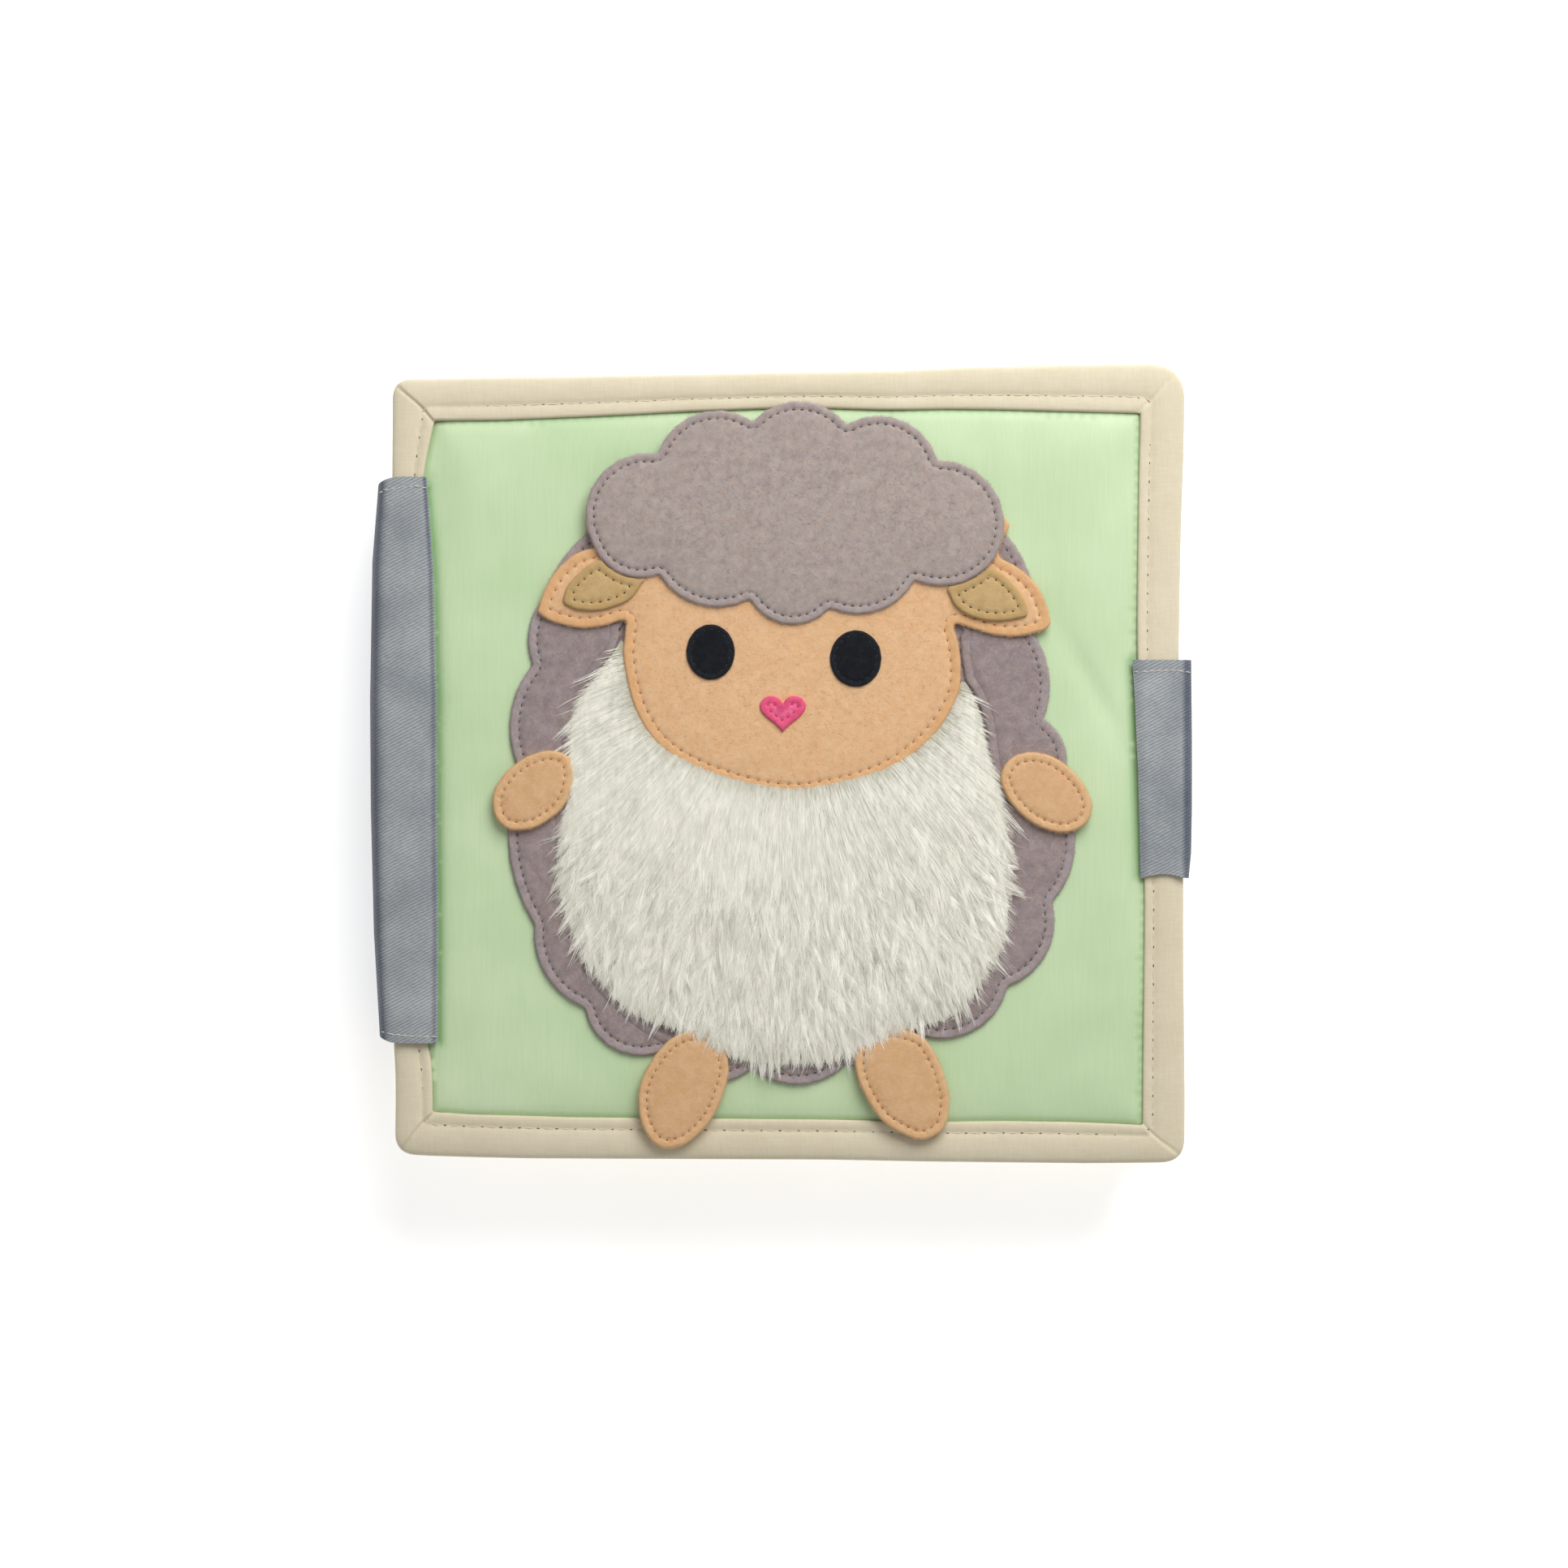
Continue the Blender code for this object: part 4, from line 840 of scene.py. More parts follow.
# steps are the places along each side and round each corner
def makeBinding(name, node, body, outerSides, radii, innerSides, innerSidesUnder, seams, seed, steps=(60, 10)):
    low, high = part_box(node)
    outer = coverLoop(outerSides, radii, *steps)
    topInner = coverLoop(innerSides, (0.6 * mm,) * 4, *steps)
    bottomInner = coverLoop(innerSidesUnder, (0.6 * mm,) * 4, *steps)
    count = len(outer)
    tall = high.z - low.z
    thick = bindingLook["cloth"]
    # each side's own share of the way from the outer edge to the inner one, eased round the corners
    seam = np.repeat(seams, steps[0] + steps[1])
    seam = np.roll(seam, steps[1] // 2)
    for _ in range(60):
        seam = (np.roll(seam, 1) + seam + np.roll(seam, -1)) / 3
    skin = [(seam + (1 - seam) * t, depth) for t, depth in bindingLook["inward"]]
    skin += [(seam * (1 - t), depth) for t, depth in bindingLook["outward"]]
    rows = [(share, high.z - depth, topInner) for share, depth in skin]
    for t in (0.35, 0.5, 0.65):
        rows.append((seam * 0 - 0.008 * math.sin(math.pi * t), high.z - tall * t, topInner))
    rows += [(share, low.z + depth, bottomInner) for share, depth in reversed(skin)]
    hidden = [(0.985, 1.15 * mm), (0.5, thick * 1.4), (0.13, thick * 1.5), (0.075, 1.5 * mm)]
    rows += [(seam * 0 + share, low.z + depth, bottomInner) for share, depth in hidden]
    rows += [(seam * 0 + share, high.z - depth, topInner) for share, depth in reversed(hidden)]
    topSeam = outer + (topInner - outer) * seam[:, None]
    bottomSeam = outer + (bottomInner - outer) * seam[:, None]
    holes = resample(topSeam, bindingLook["stitch"]["pitch"], 0)
    points = []
    cornerAt = [i * sum(steps) + steps[1] // 2 for i in range(4)]
    for share, z, inner in rows:
        ring = outer + (inner - outer) * share[:, None]
        up = 1 if z > (low.z + high.z) / 2 else -1
        lift = np.zeros(count)
        if 0.03 < share.max() < 0.995:
            for i, at in enumerate(cornerAt):
                corner = np.asarray(outerSides[i][0], float)
                diagonal = inner[at] - corner
                diagonal /= np.linalg.norm(diagonal)
                gap = ring - corner
                aside = diagonal[0] * gap[:, 1] - diagonal[1] * gap[:, 0]
                aside = aside + 0.25 * mm * np.sin(np.linalg.norm(gap, axis=1) / (2.2 * mm))
                near = np.linalg.norm(gap, axis=1) < 24 * mm
                step = 1 / (1 + np.exp(-np.clip(aside / (0.14 * mm), -40, 40)))
                lift += near * step * np.exp(-np.maximum(aside, 0) / (6 * mm)) * bindingLook["mitre"]
                lift -= near * np.exp(-((aside + 0.2 * mm) / (0.42 * mm)) ** 2) * bindingLook["crease"]
        lift += 0.08 * mm * waves(ring, 19 * mm, seed) + 0.05 * mm * waves(ring, 8 * mm, seed + 1)
        pull = 0.16 * mm * nearness(ring, holes, 1.1 * mm) if abs(share - seam).max() < 0.14 else 0
        points.append(np.column_stack([ring, z + up * (lift - pull) * (share.max() > 0.02)]))
    faces = []
    for r in range(len(rows)):
        below = (r + 1) % len(rows)
        for i in range(count):
            j = (i + 1) % count
            faces.append([r * count + i, below * count + i, below * count + j, r * count + j])
    piece = meshPiece(name, np.vstack(points), faces, tape, sharp=75)
    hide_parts(node)
    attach(piece, body)
    for side, line, z in (("Top", topSeam, high.z - 0.3 * mm), ("Under", bottomSeam, low.z + 0.3 * mm)):
        stitchRow(
            name + side + "Stitches", body, line, lambda c, z=z: z, bindingLook["stitch"],
            [threads["cream"], threads["needleHole"], threads["litHoleShade"]],
            # painted shade: the holes in the top row take the paler shade, as the light comes from beyond the top
            # edge
            slotOf=lambda c: 2 if c[1] > 95 * mm else 1,
        )


wideTape = 10 * mm  # how far a binding covers the panels


# the four sides of a plain cover or leaf, drawn in from its CAD box
def plainSides(node, inset=0.0):
    low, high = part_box(node)
    less = coverSizes["width"] / 2 - (high.x - low.x) / 2 + inset
    spineHalf, foreHalf = coverSizes["spineHeight"] / 2 - less, coverSizes["foreHeight"] / 2 - less
    corners = [
        (low.x + inset, -spineHalf), (high.x - inset, -foreHalf), (high.x - inset, foreHalf),
        (low.x + inset, spineHalf),
    ]
    return [np.array([corners[i], corners[(i + 1) % 4]]) for i in range(4)]


makeBinding(
    "frontBindingTape", "front_cover_binding", "front_cover",
    [fromPhoto(panelLook["outer"][side]) for side in sideNames], panelLook["corners"],
    windowSides, plainSides("front_cover_binding", wideTape), (0.72, 0.765, 0.67, 0.735), 31, (150, 16),
)
print("front binding made")

# The felt figure's settings, all from the photograph's pixels
sheepLook = {
    "sheepBody": {"stitchInset": 11 * pixelWide, "pitch": 2.2 * mm, "stitch": 1.2 * mm, "threadRadius": 0.15 * mm,
                  "rimRise": 0.05 * mm, "groove": 0.32 * mm, "puff": 0.15 * mm, "seed": 21, "spacing": 2.2 * mm},
    "sheepFace": {"stitchInset": 12 * pixelWide, "pitch": 2.75 * mm, "stitch": 0.9 * mm, "threadRadius": 0.13 * mm,
                  "rimRise": 0.04 * mm, "groove": 0.34 * mm, "puff": 0.45 * mm, "puffWidth": 5 * mm, "seed": 31},
    "fringe": {"stitchInset": 9.5 * pixelWide, "pitch": 2.2 * mm, "stitch": 1.15 * mm, "threadRadius": 0.15 * mm,
               "rimRise": 0.05 * mm, "groove": 0.36 * mm, "puff": 0.75 * mm, "puffWidth": 6 * mm, "seed": 41},
    "ear": {"stitchInset": 10 * pixelWide, "pitch": 2.3 * mm, "stitch": 0.8 * mm, "threadRadius": 0.17 * mm,
            "rimRise": 0.1 * mm, "groove": 0.3 * mm, "puff": 0.1 * mm, "seed": 51},
    "eye": {"stitchInset": 6 * pixelWide, "pitch": 2.1 * mm, "stitch": 1.0 * mm, "threadRadius": 0.14 * mm,
            "rimRise": 0.05 * mm, "groove": 0.22 * mm, "puff": 0.25 * mm, "seed": 61, "spacing": 1.0 * mm},
    "nose": {"stitchInset": 9 * pixelWide, "pitch": 1.9 * mm, "stitch": 1.05 * mm, "threadRadius": 0.18 * mm,
             "rimRise": 0.1 * mm, "groove": 0.3 * mm, "puff": 0.25 * mm, "seed": 71, "spacing": 1.0 * mm},
    "limb": {"stitchInset": 10.5 * pixelWide, "pitch": 2.15 * mm, "stitch": 0.95 * mm, "threadRadius": 0.13 * mm,
             "rimRise": 0.04 * mm, "groove": 0.32 * mm, "puff": 0.2 * mm, "seed": 81},
    "limbFelt": 1.75 * mm,  # two felts laid one on the other
    "earLine": fromPhoto([(960, 770)])[0, 1], "chinDrop": 2.1 * mm, "noseDrop": 1.0 * mm,
    "ringEdge": [  # the body felt is a ring: its inner edge shows beside the cheeks, above the fur
        (768, 770), (765, 782), (757, 805), (743, 821), (730, 841), (716, 870), (704, 920), (698, 980), (696, 1060),
        (706, 1130), (736, 1200), (800, 1262), (880, 1296), (972, 1306), (1060, 1296), (1145, 1262), (1200, 1200),
        (1228, 1130), (1238, 1060), (1232, 1000), (1220, 940), (1214, 897), (1207, 873), (1199, 853), (1189, 838),
        (1184, 807), (1182, 786), (1180, 768), (1100, 700), (850, 700),
    ],
    "ringSeams": [
        [(764, 775), (752, 792), (738, 813), (725, 824), (716, 843), (705, 868)],
        [(1186, 790), (1189, 807), (1196, 826), (1203, 845), (1211, 863), (1219, 884), (1224, 910), (1225, 926)],
    ],
}
ringLoop = anticlockwise(smoothLoop(fromPhoto(sheepLook["ringEdge"])[::-1]))
fuzzLook = {"step": 0.16 * mm, "faceHairs": 1.1, "width": 0.055 * mm, "rim": 0.35, "seed": 91}
greys = (felts["grey"], threads["grey"])
feltLevels = [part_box(node) for node in ("sheep_body", "sheep_face", "fringe")]
edge = feltPiece("sheepBodyFelt", "sheep_body", sheepLook["sheepBody"], "front_cover", *greys, hollow=ringLoop)
feltFuzz("sheepBodyFuzz", edge, (feltLevels[0][0].z, feltLevels[0][1].z), fuzzLook, "front_cover", felts["grey"])
for i, seam in enumerate(sheepLook["ringSeams"]):
    stitchRow(
        "ringStitches%d" % i, "front_cover", fromPhoto(seam), lambda c: feltLevels[0][1].z - 0.28 * mm,
        {"pitch": 2.2 * mm, "length": 1.2 * mm, "radius": 0.15 * mm, "seed": 7 + i, "vary": 0.3},
        [threads["grey"]], closed=False,
    )
faceOutline = outlineOf("sheep_face")
chinShare = np.clip(
    (sheepLook["earLine"] - faceOutline[:, 1]) / (sheepLook["earLine"] - faceOutline[:, 1].min()), 0, 1
)
faceOutline[:, 1] -= sheepLook["chinDrop"] * chinShare ** 2  # the soft face hangs a little fuller at the chin
edge = feltPiece(
    "sheepFaceFelt", "sheep_face", sheepLook["sheepFace"], "front_cover", felts["peach"], threads["orange"],
    faceOutline,
)
levels = (feltLevels[1][0].z, feltLevels[1][1].z + sheepLook["sheepFace"]["puff"])
feltFuzz("sheepFaceFuzz", edge, levels, fuzzLook, "front_cover", felts["peach"])
edge = feltPiece("fringeFelt", "fringe", sheepLook["fringe"], "front_cover", felts["paleGrey"], threads["grey"])
levels = (feltLevels[2][0].z, feltLevels[2][1].z + sheepLook["fringe"]["puff"])
feltFuzz("fringeFuzz", edge, levels, fuzzLook, "front_cover", felts["paleGrey"])
tans, blacks = (felts["tan"], threads["brown"]), (felts["black"], threads["black"])
for side in ("left", "right"):
    feltPiece(side + "InnerEarFelt", side + "_inner_ear", sheepLook["ear"], "front_cover", *tans)
    feltPiece(side + "EyeFelt", side + "_eye", sheepLook["eye"], "front_cover", *blacks)
noseOutline = outlineOf("nose") - (0, sheepLook["noseDrop"])
feltPiece("noseFelt", "nose", sheepLook["nose"], "front_cover", felts["pink"], threads["pink"], noseOutline)
print("felt face made")

# Hands and feet: two felts sewn together, free to lift, traced as the photograph shows them
limbPixels = {
    "left_hand": [
        (608, 991), (610, 974), (617, 962), (625, 951), (636, 942), (647, 934), (662, 928), (676, 925), (691, 927),
        (702, 934), (707, 948), (707, 961), (704, 973), (700, 986), (690, 1000), (676, 1011), (660, 1020),
        (643, 1023), (628, 1022), (618, 1015), (611, 1005),
    ],
    "right_hand": [
        (1232, 957), (1238, 978), (1251, 997), (1271, 1014), (1288, 1022), (1307, 1026), (1326, 1022), (1340, 1010),
        (1344, 989), (1333, 965), (1312, 943), (1292, 931), (1266, 927), (1243, 936),
    ],
    "left_foot": [
        (787, 1355), (789, 1376), (794, 1390), (802, 1403), (812, 1411), (824, 1414), (845, 1408), (863, 1394),
        (878, 1376), (888, 1355), (895, 1334), (898, 1315), (891, 1285), (875, 1272), (850, 1270), (829, 1278),
        (812, 1294), (798, 1315), (789, 1336),
    ],
    "right_foot": [
        (1053, 1309), (1057, 1330), (1066, 1350), (1084, 1377), (1106, 1393), (1134, 1403), (1157, 1394),
        (1166, 1380), (1169, 1353), (1165, 1332), (1158, 1311), (1145, 1287), (1131, 1274), (1100, 1266),
        (1068, 1275), (1056, 1290),
    ],
}
for i, (node, pixels) in enumerate(limbPixels.items()):
    outline = anticlockwise(smoothLoop(fromPhoto(pixels)))
    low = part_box(node)[0]
    look = dict(sheepLook["limb"], seed=81 + 3 * i)
    name = node.replace("_h", "H").replace("_f", "F")
    levels = (low.z, low.z + sheepLook["limbFelt"])
    edge = feltPiece(name + "Felt", node, look, node, felts["peachLimb"], threads["orange"], outline, levels)
    feltFuzz(name + "Fuzz", edge, levels, fuzzLook, node, felts["peachLimb"])
print("hands and feet made")

# The fur belly: a low mound of backing under tens of thousands of hairs that leave the chin and run
# down and to the sides, each near the way its own lock leans
furLook = {
    "shownEdge": [  # where the fur ends, anticlockwise from beside the right cheek, in pixels
        (1184, 838), (1150, 900), (1091, 940), (1009, 962), (944, 962), (865, 940), (813, 910), (785, 870),
        (772, 812), (768, 784), (757, 805), (743, 820), (730, 841), (712, 868), (704, 900), (700, 950), (698, 1000),
        (690, 1050), (692, 1105), (706, 1150), (730, 1196), (768, 1240), (800, 1258), (842, 1270), (880, 1296),
        (918, 1306), (972, 1311), (1020, 1309), (1060, 1299), (1101, 1279), (1135, 1264), (1178, 1250), (1200, 1222),
        (1222, 1188), (1238, 1150), (1243, 1100), (1243, 1050), (1238, 1005), (1226, 960), (1215, 926), (1211, 895),
        (1203, 866), (1192, 846),
    ],
    "source": (962, 850), "mound": 3.6 * mm, "moundReach": 6.5 * mm, "pieces": 2,
    "hairs": 62000, "clumps": 4600,
    "length": (9 * mm, 14 * mm), "width": 0.17 * mm, "segments": 3, "lift": 3.0 * mm, "seed": 17,
    "droop": 0.45,  # how much the hairs turn down from their way out of the chin
    "combed": 30 * mm,  # from the chin to where the locks lie free
    "lean": 0.5,  # how far a hair's shading turns aside within its lock
    "rootsPast": 3.4 * mm, "underFace": 3.2 * mm, "underLimb": 0.8 * mm,  # how far roots go past or under an edge
    "edgeGap": 0.8 * mm, "edgeSoft": 1.3 * mm,  # where tips end short of the fur's edge, and how sharply
    "standOut": 4.5 * mm, "standShare": 0.09,  # the locks that pass the edge
    "shortened": 0.45,  # the share of its length that a hair cut short at the edge keeps
    "chinRise": 5,  # pixels by which the pile goes on under the chin
}
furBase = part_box("belly_fur")[0].z
furSource = fromPhoto([furLook["source"]])[0]


# a closed line's distance from any place, positive inside, read from a fine grid so that it is quick
def distanceField(loop, low, high, step=0.5 * mm):
    xs, ys = np.arange(low[0], high[0], step), np.arange(low[1], high[1], step)
    grid = np.stack(np.meshgrid(xs, ys, indexing="ij"), -1).reshape(-1, 2)
    loop = anticlockwise(loop)
    field = (distanceTo(grid, loop) * np.where(insideOf(grid, loop), 1, -1)).reshape(len(xs), len(ys))

    def sample(xy):
        u = np.clip((xy[:, 0] - low[0]) / step, 0, len(xs) - 1.001)
        v = np.clip((xy[:, 1] - low[1]) / step, 0, len(ys) - 1.001)
        i, j = u.astype(int), v.astype(int)
        a, b = u - i, v - j
        near = (1 - b) * field[i, j] + b * field[i, j + 1]
        return (1 - a) * near + a * ((1 - b) * field[i + 1, j] + b * field[i + 1, j + 1])

    return sample


furEdge = resample(smoothLoop(fromPhoto(furLook["shownEdge"]), 4), 2 * mm, 1)
moundEdge = fromPhoto(furLook["shownEdge"])
moundEdge[1:9, 1] += furLook["chinRise"] * pixelTall
moundEdge = resample(smoothLoop(moundEdge, 4), 2 * mm, 1)
furLow, furHigh = furEdge.min(0) - 12 * mm, furEdge.max(0) + 12 * mm
toFur = distanceField(furEdge, furLow, furHigh)
toMound = distanceField(moundEdge, furLow, furHigh)
toFace = distanceField(resample(faceOutline, 1.5 * mm, 1), furLow, furHigh)
toLimbs = [
    distanceField(resample(smoothLoop(fromPhoto(pixels)), 2 * mm, 0), furLow, furHigh)
    for pixels in limbPixels.values()
]


def moundHeight(xy):
    depth = np.maximum(0, toMound(xy))
    return furLook["mound"] * (1 - np.exp(-(depth / furLook["moundReach"]) ** 1.3))


def hairFlow(xy):
    side = unit(xy - furSource) + (0, -furLook["droop"])
    swirl = 0.16 * waves(xy, 34 * mm, 5) + 0.14 * waves(xy, 13 * mm, 6)
    angle = np.arctan2(side[:, 1], side[:, 0]) + swirl
    return np.stack([np.cos(angle), np.sin(angle)], 1)


# grows every hair at once, then deals them out to the pieces
def growFur(look):
    draw = np.random.default_rng(look["seed"])
    wanted = look["hairs"] * look["pieces"]
    roots = draw.uniform(furLow, furHigh, (wanted * 3, 2))
    roots = roots[(toFur(roots) > -look["rootsPast"]) & ((toMound(roots) > 0) | (toFur(roots) > 0))]
    hidden = toFace(roots) > look["underFace"]
    for toLimb in toLimbs:
        hidden |= toLimb(roots) > look["underLimb"]
    roots = roots[~hidden]
    seeds = draw.uniform(furLow, furHigh, (look["clumps"] * 3, 2))
    seeds = seeds[toFur(seeds) > -1 * mm][:look["clumps"]]
    owner = nearestOf(roots, seeds)[0]
    clumpWay = hairFlow(seeds)
    free = np.clip(-toFace(seeds) / look["combed"], 0.12, 1)  # the pile lies combed flat close to the chin
    clumpWay = turnedBy(clumpWay, draw.normal(0, 0.3, len(seeds)) * free)
    way = unit(0.4 * hairFlow(roots) + 0.6 * clumpWay[owner] + draw.normal(0, 0.07, roots.shape))
    clumpLength = draw.uniform(0.65, 1.3, len(seeds))
    length = draw.uniform(*look["length"], len(roots)) * clumpLength[owner]
    # a hair whose tip would pass the fur's edge is mostly left out, so its neighbours end there
    # but whole locks stand out past it here and there
    stands = draw.uniform(0, 1, len(seeds)) < look["standShare"]
    standOut = np.where(stands, draw.uniform(0.3, 1, len(seeds)) * look["standOut"], 0)
    past = np.maximum(0, look["edgeGap"] - toFur(roots + way * length[:, None] * 0.95) - standOut[owner])
    keep = draw.uniform(0, 1, len(roots)) < np.exp(-(past / look["edgeSoft"]) ** 2)
    shorten = (past > 0) & ~keep & (toFur(roots) < 5 * mm) & (draw.uniform(0, 1, len(roots)) < 0.6)
    length[shorten] *= look["shortened"]
    stillPast = -toFur(roots + way * length[:, None])
    shorten &= stillPast < draw.exponential(0.5 * mm, len(roots))
    keep |= shorten
    roots, owner, way, length = (part[keep][:wanted] for part in (roots, owner, way, length))
    count = len(roots)
    nearEdge = np.exp(-np.maximum(0, toFur(seeds)) / (9 * mm))
    gather = np.minimum(draw.uniform(0.35, 0.9, count) * free[owner] + 0.3 * nearEdge[owner], 0.96)
    clumpTip = seeds + clumpWay * (np.mean(look["length"]) * clumpLength)[:, None]
    reach = clumpTip[owner] - seeds[owner]
    reach *= (length / np.maximum(np.linalg.norm(reach, axis=1), 1e-6))[:, None]
    clumpRoot = seeds[owner]
    gatheredTip = clumpRoot + reach + (roots - clumpRoot) * 0.25
    along = ((roots - clumpRoot) * clumpWay[owner]).sum(1)
    gatheredTip += clumpWay[owner] * (along * 0.75)[:, None]
    curl = draw.normal(0, 0.5 * mm, (count, 2))
    lift = look["lift"] * draw.uniform(0.3, 1.0, count) * draw.uniform(0.75, 1.1, len(seeds))[owner]
    lift *= np.clip(length / np.mean(look["length"]), 0.3, 1) * np.clip(free[owner], 0.5, 1)
    roll = np.clip(draw.normal(0, 0.25, count), -0.7, 0.7)
    width = look["width"] * draw.uniform(0.65, 1.3, count)
    aside = ((roots - clumpRoot) * leftOf(clumpWay[owner])).sum(1)
    lean = np.clip(aside / (0.95 * mm), -1, 1) * look["lean"] * free[owner]
    steps = look["segments"] + 1
    lockShade = draw.uniform(0, 1, len(seeds)) * (free * 0.7) + 0.5 * (1 - free * 0.7)
    rows, values, normals = [], [], []
    acrossFlat = leftOf(way)
    for k in range(steps):
        t = k / (steps - 1)
        tip = (roots + way * length[:, None]) * (1 - gather[:, None]) + gatheredTip * gather[:, None]
        spot = roots * (1 - t) ** 2 + (roots + way * length[:, None] * 0.5) * 2 * t * (1 - t) + tip * t * t
        spot += curl * math.sin(math.pi * t) * 0.6
        rise = furBase + 0.15 * mm + moundHeight(spot) + lift * (1 - (1 - t) ** 2.2) - 0.35 * lift * t ** 4
        half = width * (1.0 - 0.8 * t ** 1.8) / 2
        across = np.column_stack([acrossFlat * np.cos(roll)[:, None], np.sin(roll)])
        centre = np.column_stack([spot, rise])
        rows += [centre - across * half[:, None], centre + across * half[:, None]]
        values += [t, t]
        slope = 0.25 * (t - 0.35)
        normal = np.column_stack([
            acrossFlat * np.sin(lean)[:, None] + way * slope, np.cos(lean) * np.ones(count)
        ])
        normals += [unit(normal + draw.normal(0, 0.05, normal.shape))] * 2
    points, normals = np.stack(rows, 1), np.stack(normals, 1)
    for i in range(look["pieces"]):
        share = slice(i * look["hairs"], (i + 1) * look["hairs"])
        few = len(points[share])
        base = np.arange(few) * 2 * steps
        faces = np.stack([
            np.stack([base + corner for corner in (2 * k, 2 * k + 2, 2 * k + 3, 2 * k + 1)], 1)
            for k in range(steps - 1)
        ], 1).reshape(-1, 4)
        hairs = ribbonMesh(
            "bellyFurHairs%d" % i, points[share].reshape(-1, 3), faces, pile,
            {"alongHair": np.tile(np.array(values), few), "lock": np.repeat(lockShade[owner[share]], 2 * steps)},
            normals[share].reshape(-1, 3),
        )
        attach(hairs, "front_cover")
        hairs.visible_shadow = i == 0  # fine pile lets most of the light through, so only a part of it shades


growFur(furLook)
backing = reliefSheet(
    "bellyFurBacking", furEdge, furBase, furBase, lambda xy, d: moundHeight(xy) * 0.8 + 0.05 * mm, pile,
    [1 * mm, 2.5 * mm, 4.5 * mm], 3 * mm,
)
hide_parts("belly_fur")
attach(backing, "front_cover")
print("fur made")


# A strip of cloth from a grid of places, given its thickness and closed at its edges, and marked where it gets
# painted shade
def clothShell(name, grid, thickness, material, shadeFrom=None):
    rows, columns = grid.shape[:2]
    normal = unit(np.cross(np.gradient(grid, axis=0), np.gradient(grid, axis=1)))
    inner = grid - normal * thickness
    points = np.vstack([grid.reshape(-1, 3), inner.reshape(-1, 3)])
    shift = rows * columns
    faces = []
    for r in range(rows - 1):
        for c in range(columns - 1):
            a = r * columns + c
            faces.append([a, a + columns, a + columns + 1, a + 1])
            faces.append([shift + a + 1, shift + a + columns + 1, shift + a + columns, shift + a])
    rim = [r * columns for r in range(rows)] + [(rows - 1) * columns + c for c in range(1, columns)]
    rim += [r * columns + columns - 1 for r in reversed(range(rows - 1))]
    rim += [c for c in reversed(range(1, columns - 1))]
    for a, b in zip(rim, rim[1:] + rim[:1]):
        faces.append([b, a, shift + a, shift + b])
    # painted shade: steep faces, and on the strap everything past shadeFrom, are marked to be painted darker
    sideShade = np.clip((1 - np.abs(normal[:, :, 2])) * 2.6, 0, 1).ravel()
    if shadeFrom:
        sideShade = np.maximum(sideShade, np.clip((grid[:, :, 0].ravel() - shadeFrom) / (1.2 * mm), 0, 1))
    piece = meshPiece(name, points, faces, material, sharp=60, values={"sideShade": np.concatenate([sideShade, sideShade])})
    work = bmesh.new()
    work.from_mesh(piece.data)
    bmesh.ops.recalc_face_normals(work, faces=work.faces)
    work.to_mesh(piece.data)
    work.free()
    return piece


# The spine cloth: one strip of twill from its seam on the front cover round to the back cover
spineLook = {
    "seamPixels": [(526, 588), (534, 700), (538, 860), (538.5, 1000), (540, 1150), (539, 1285)],
    "outerPixels": [(466, 588), (458, 690), (455, 860), (456, 1000), (460, 1150), (468, 1285)],
    "cloth": 0.9 * mm, "columns": 90, "hem": 2.6 * mm,
    "turn": 1.5 * mm,  # the strip starts to turn down this far inside the cover's edge
    "drawnIn": 2.8 * mm,
    "partedAt": (33.0 * mm, 27.0 * mm, 20.4 * mm, 13.8 * mm, 7.0 * mm),
    "outward": 1.2 * mm,  # the bulge lies lower than the cover, so the camera sees it drawn in
}
spineBends = {"spineUpperBend": ("leaf_1", "front_cover"), "spineUpperMiddle": ("leaf_2", "leaf_1"),
              "spineLowerMiddle": ("leaf_3", "leaf_2"), "spineLowerBend": ("back_cover", "leaf_3")}


# one row of a strip's grid
def gridRow(x, ys, z):
    return np.stack(np.broadcast_arrays(x, ys, z), 1).astype(float)


def stripEdges(pixels, ys):
    places = fromPhoto(pixels)
    order = np.argsort(places[:, 1])
    return np.interp(ys, places[order, 1], places[order, 0])


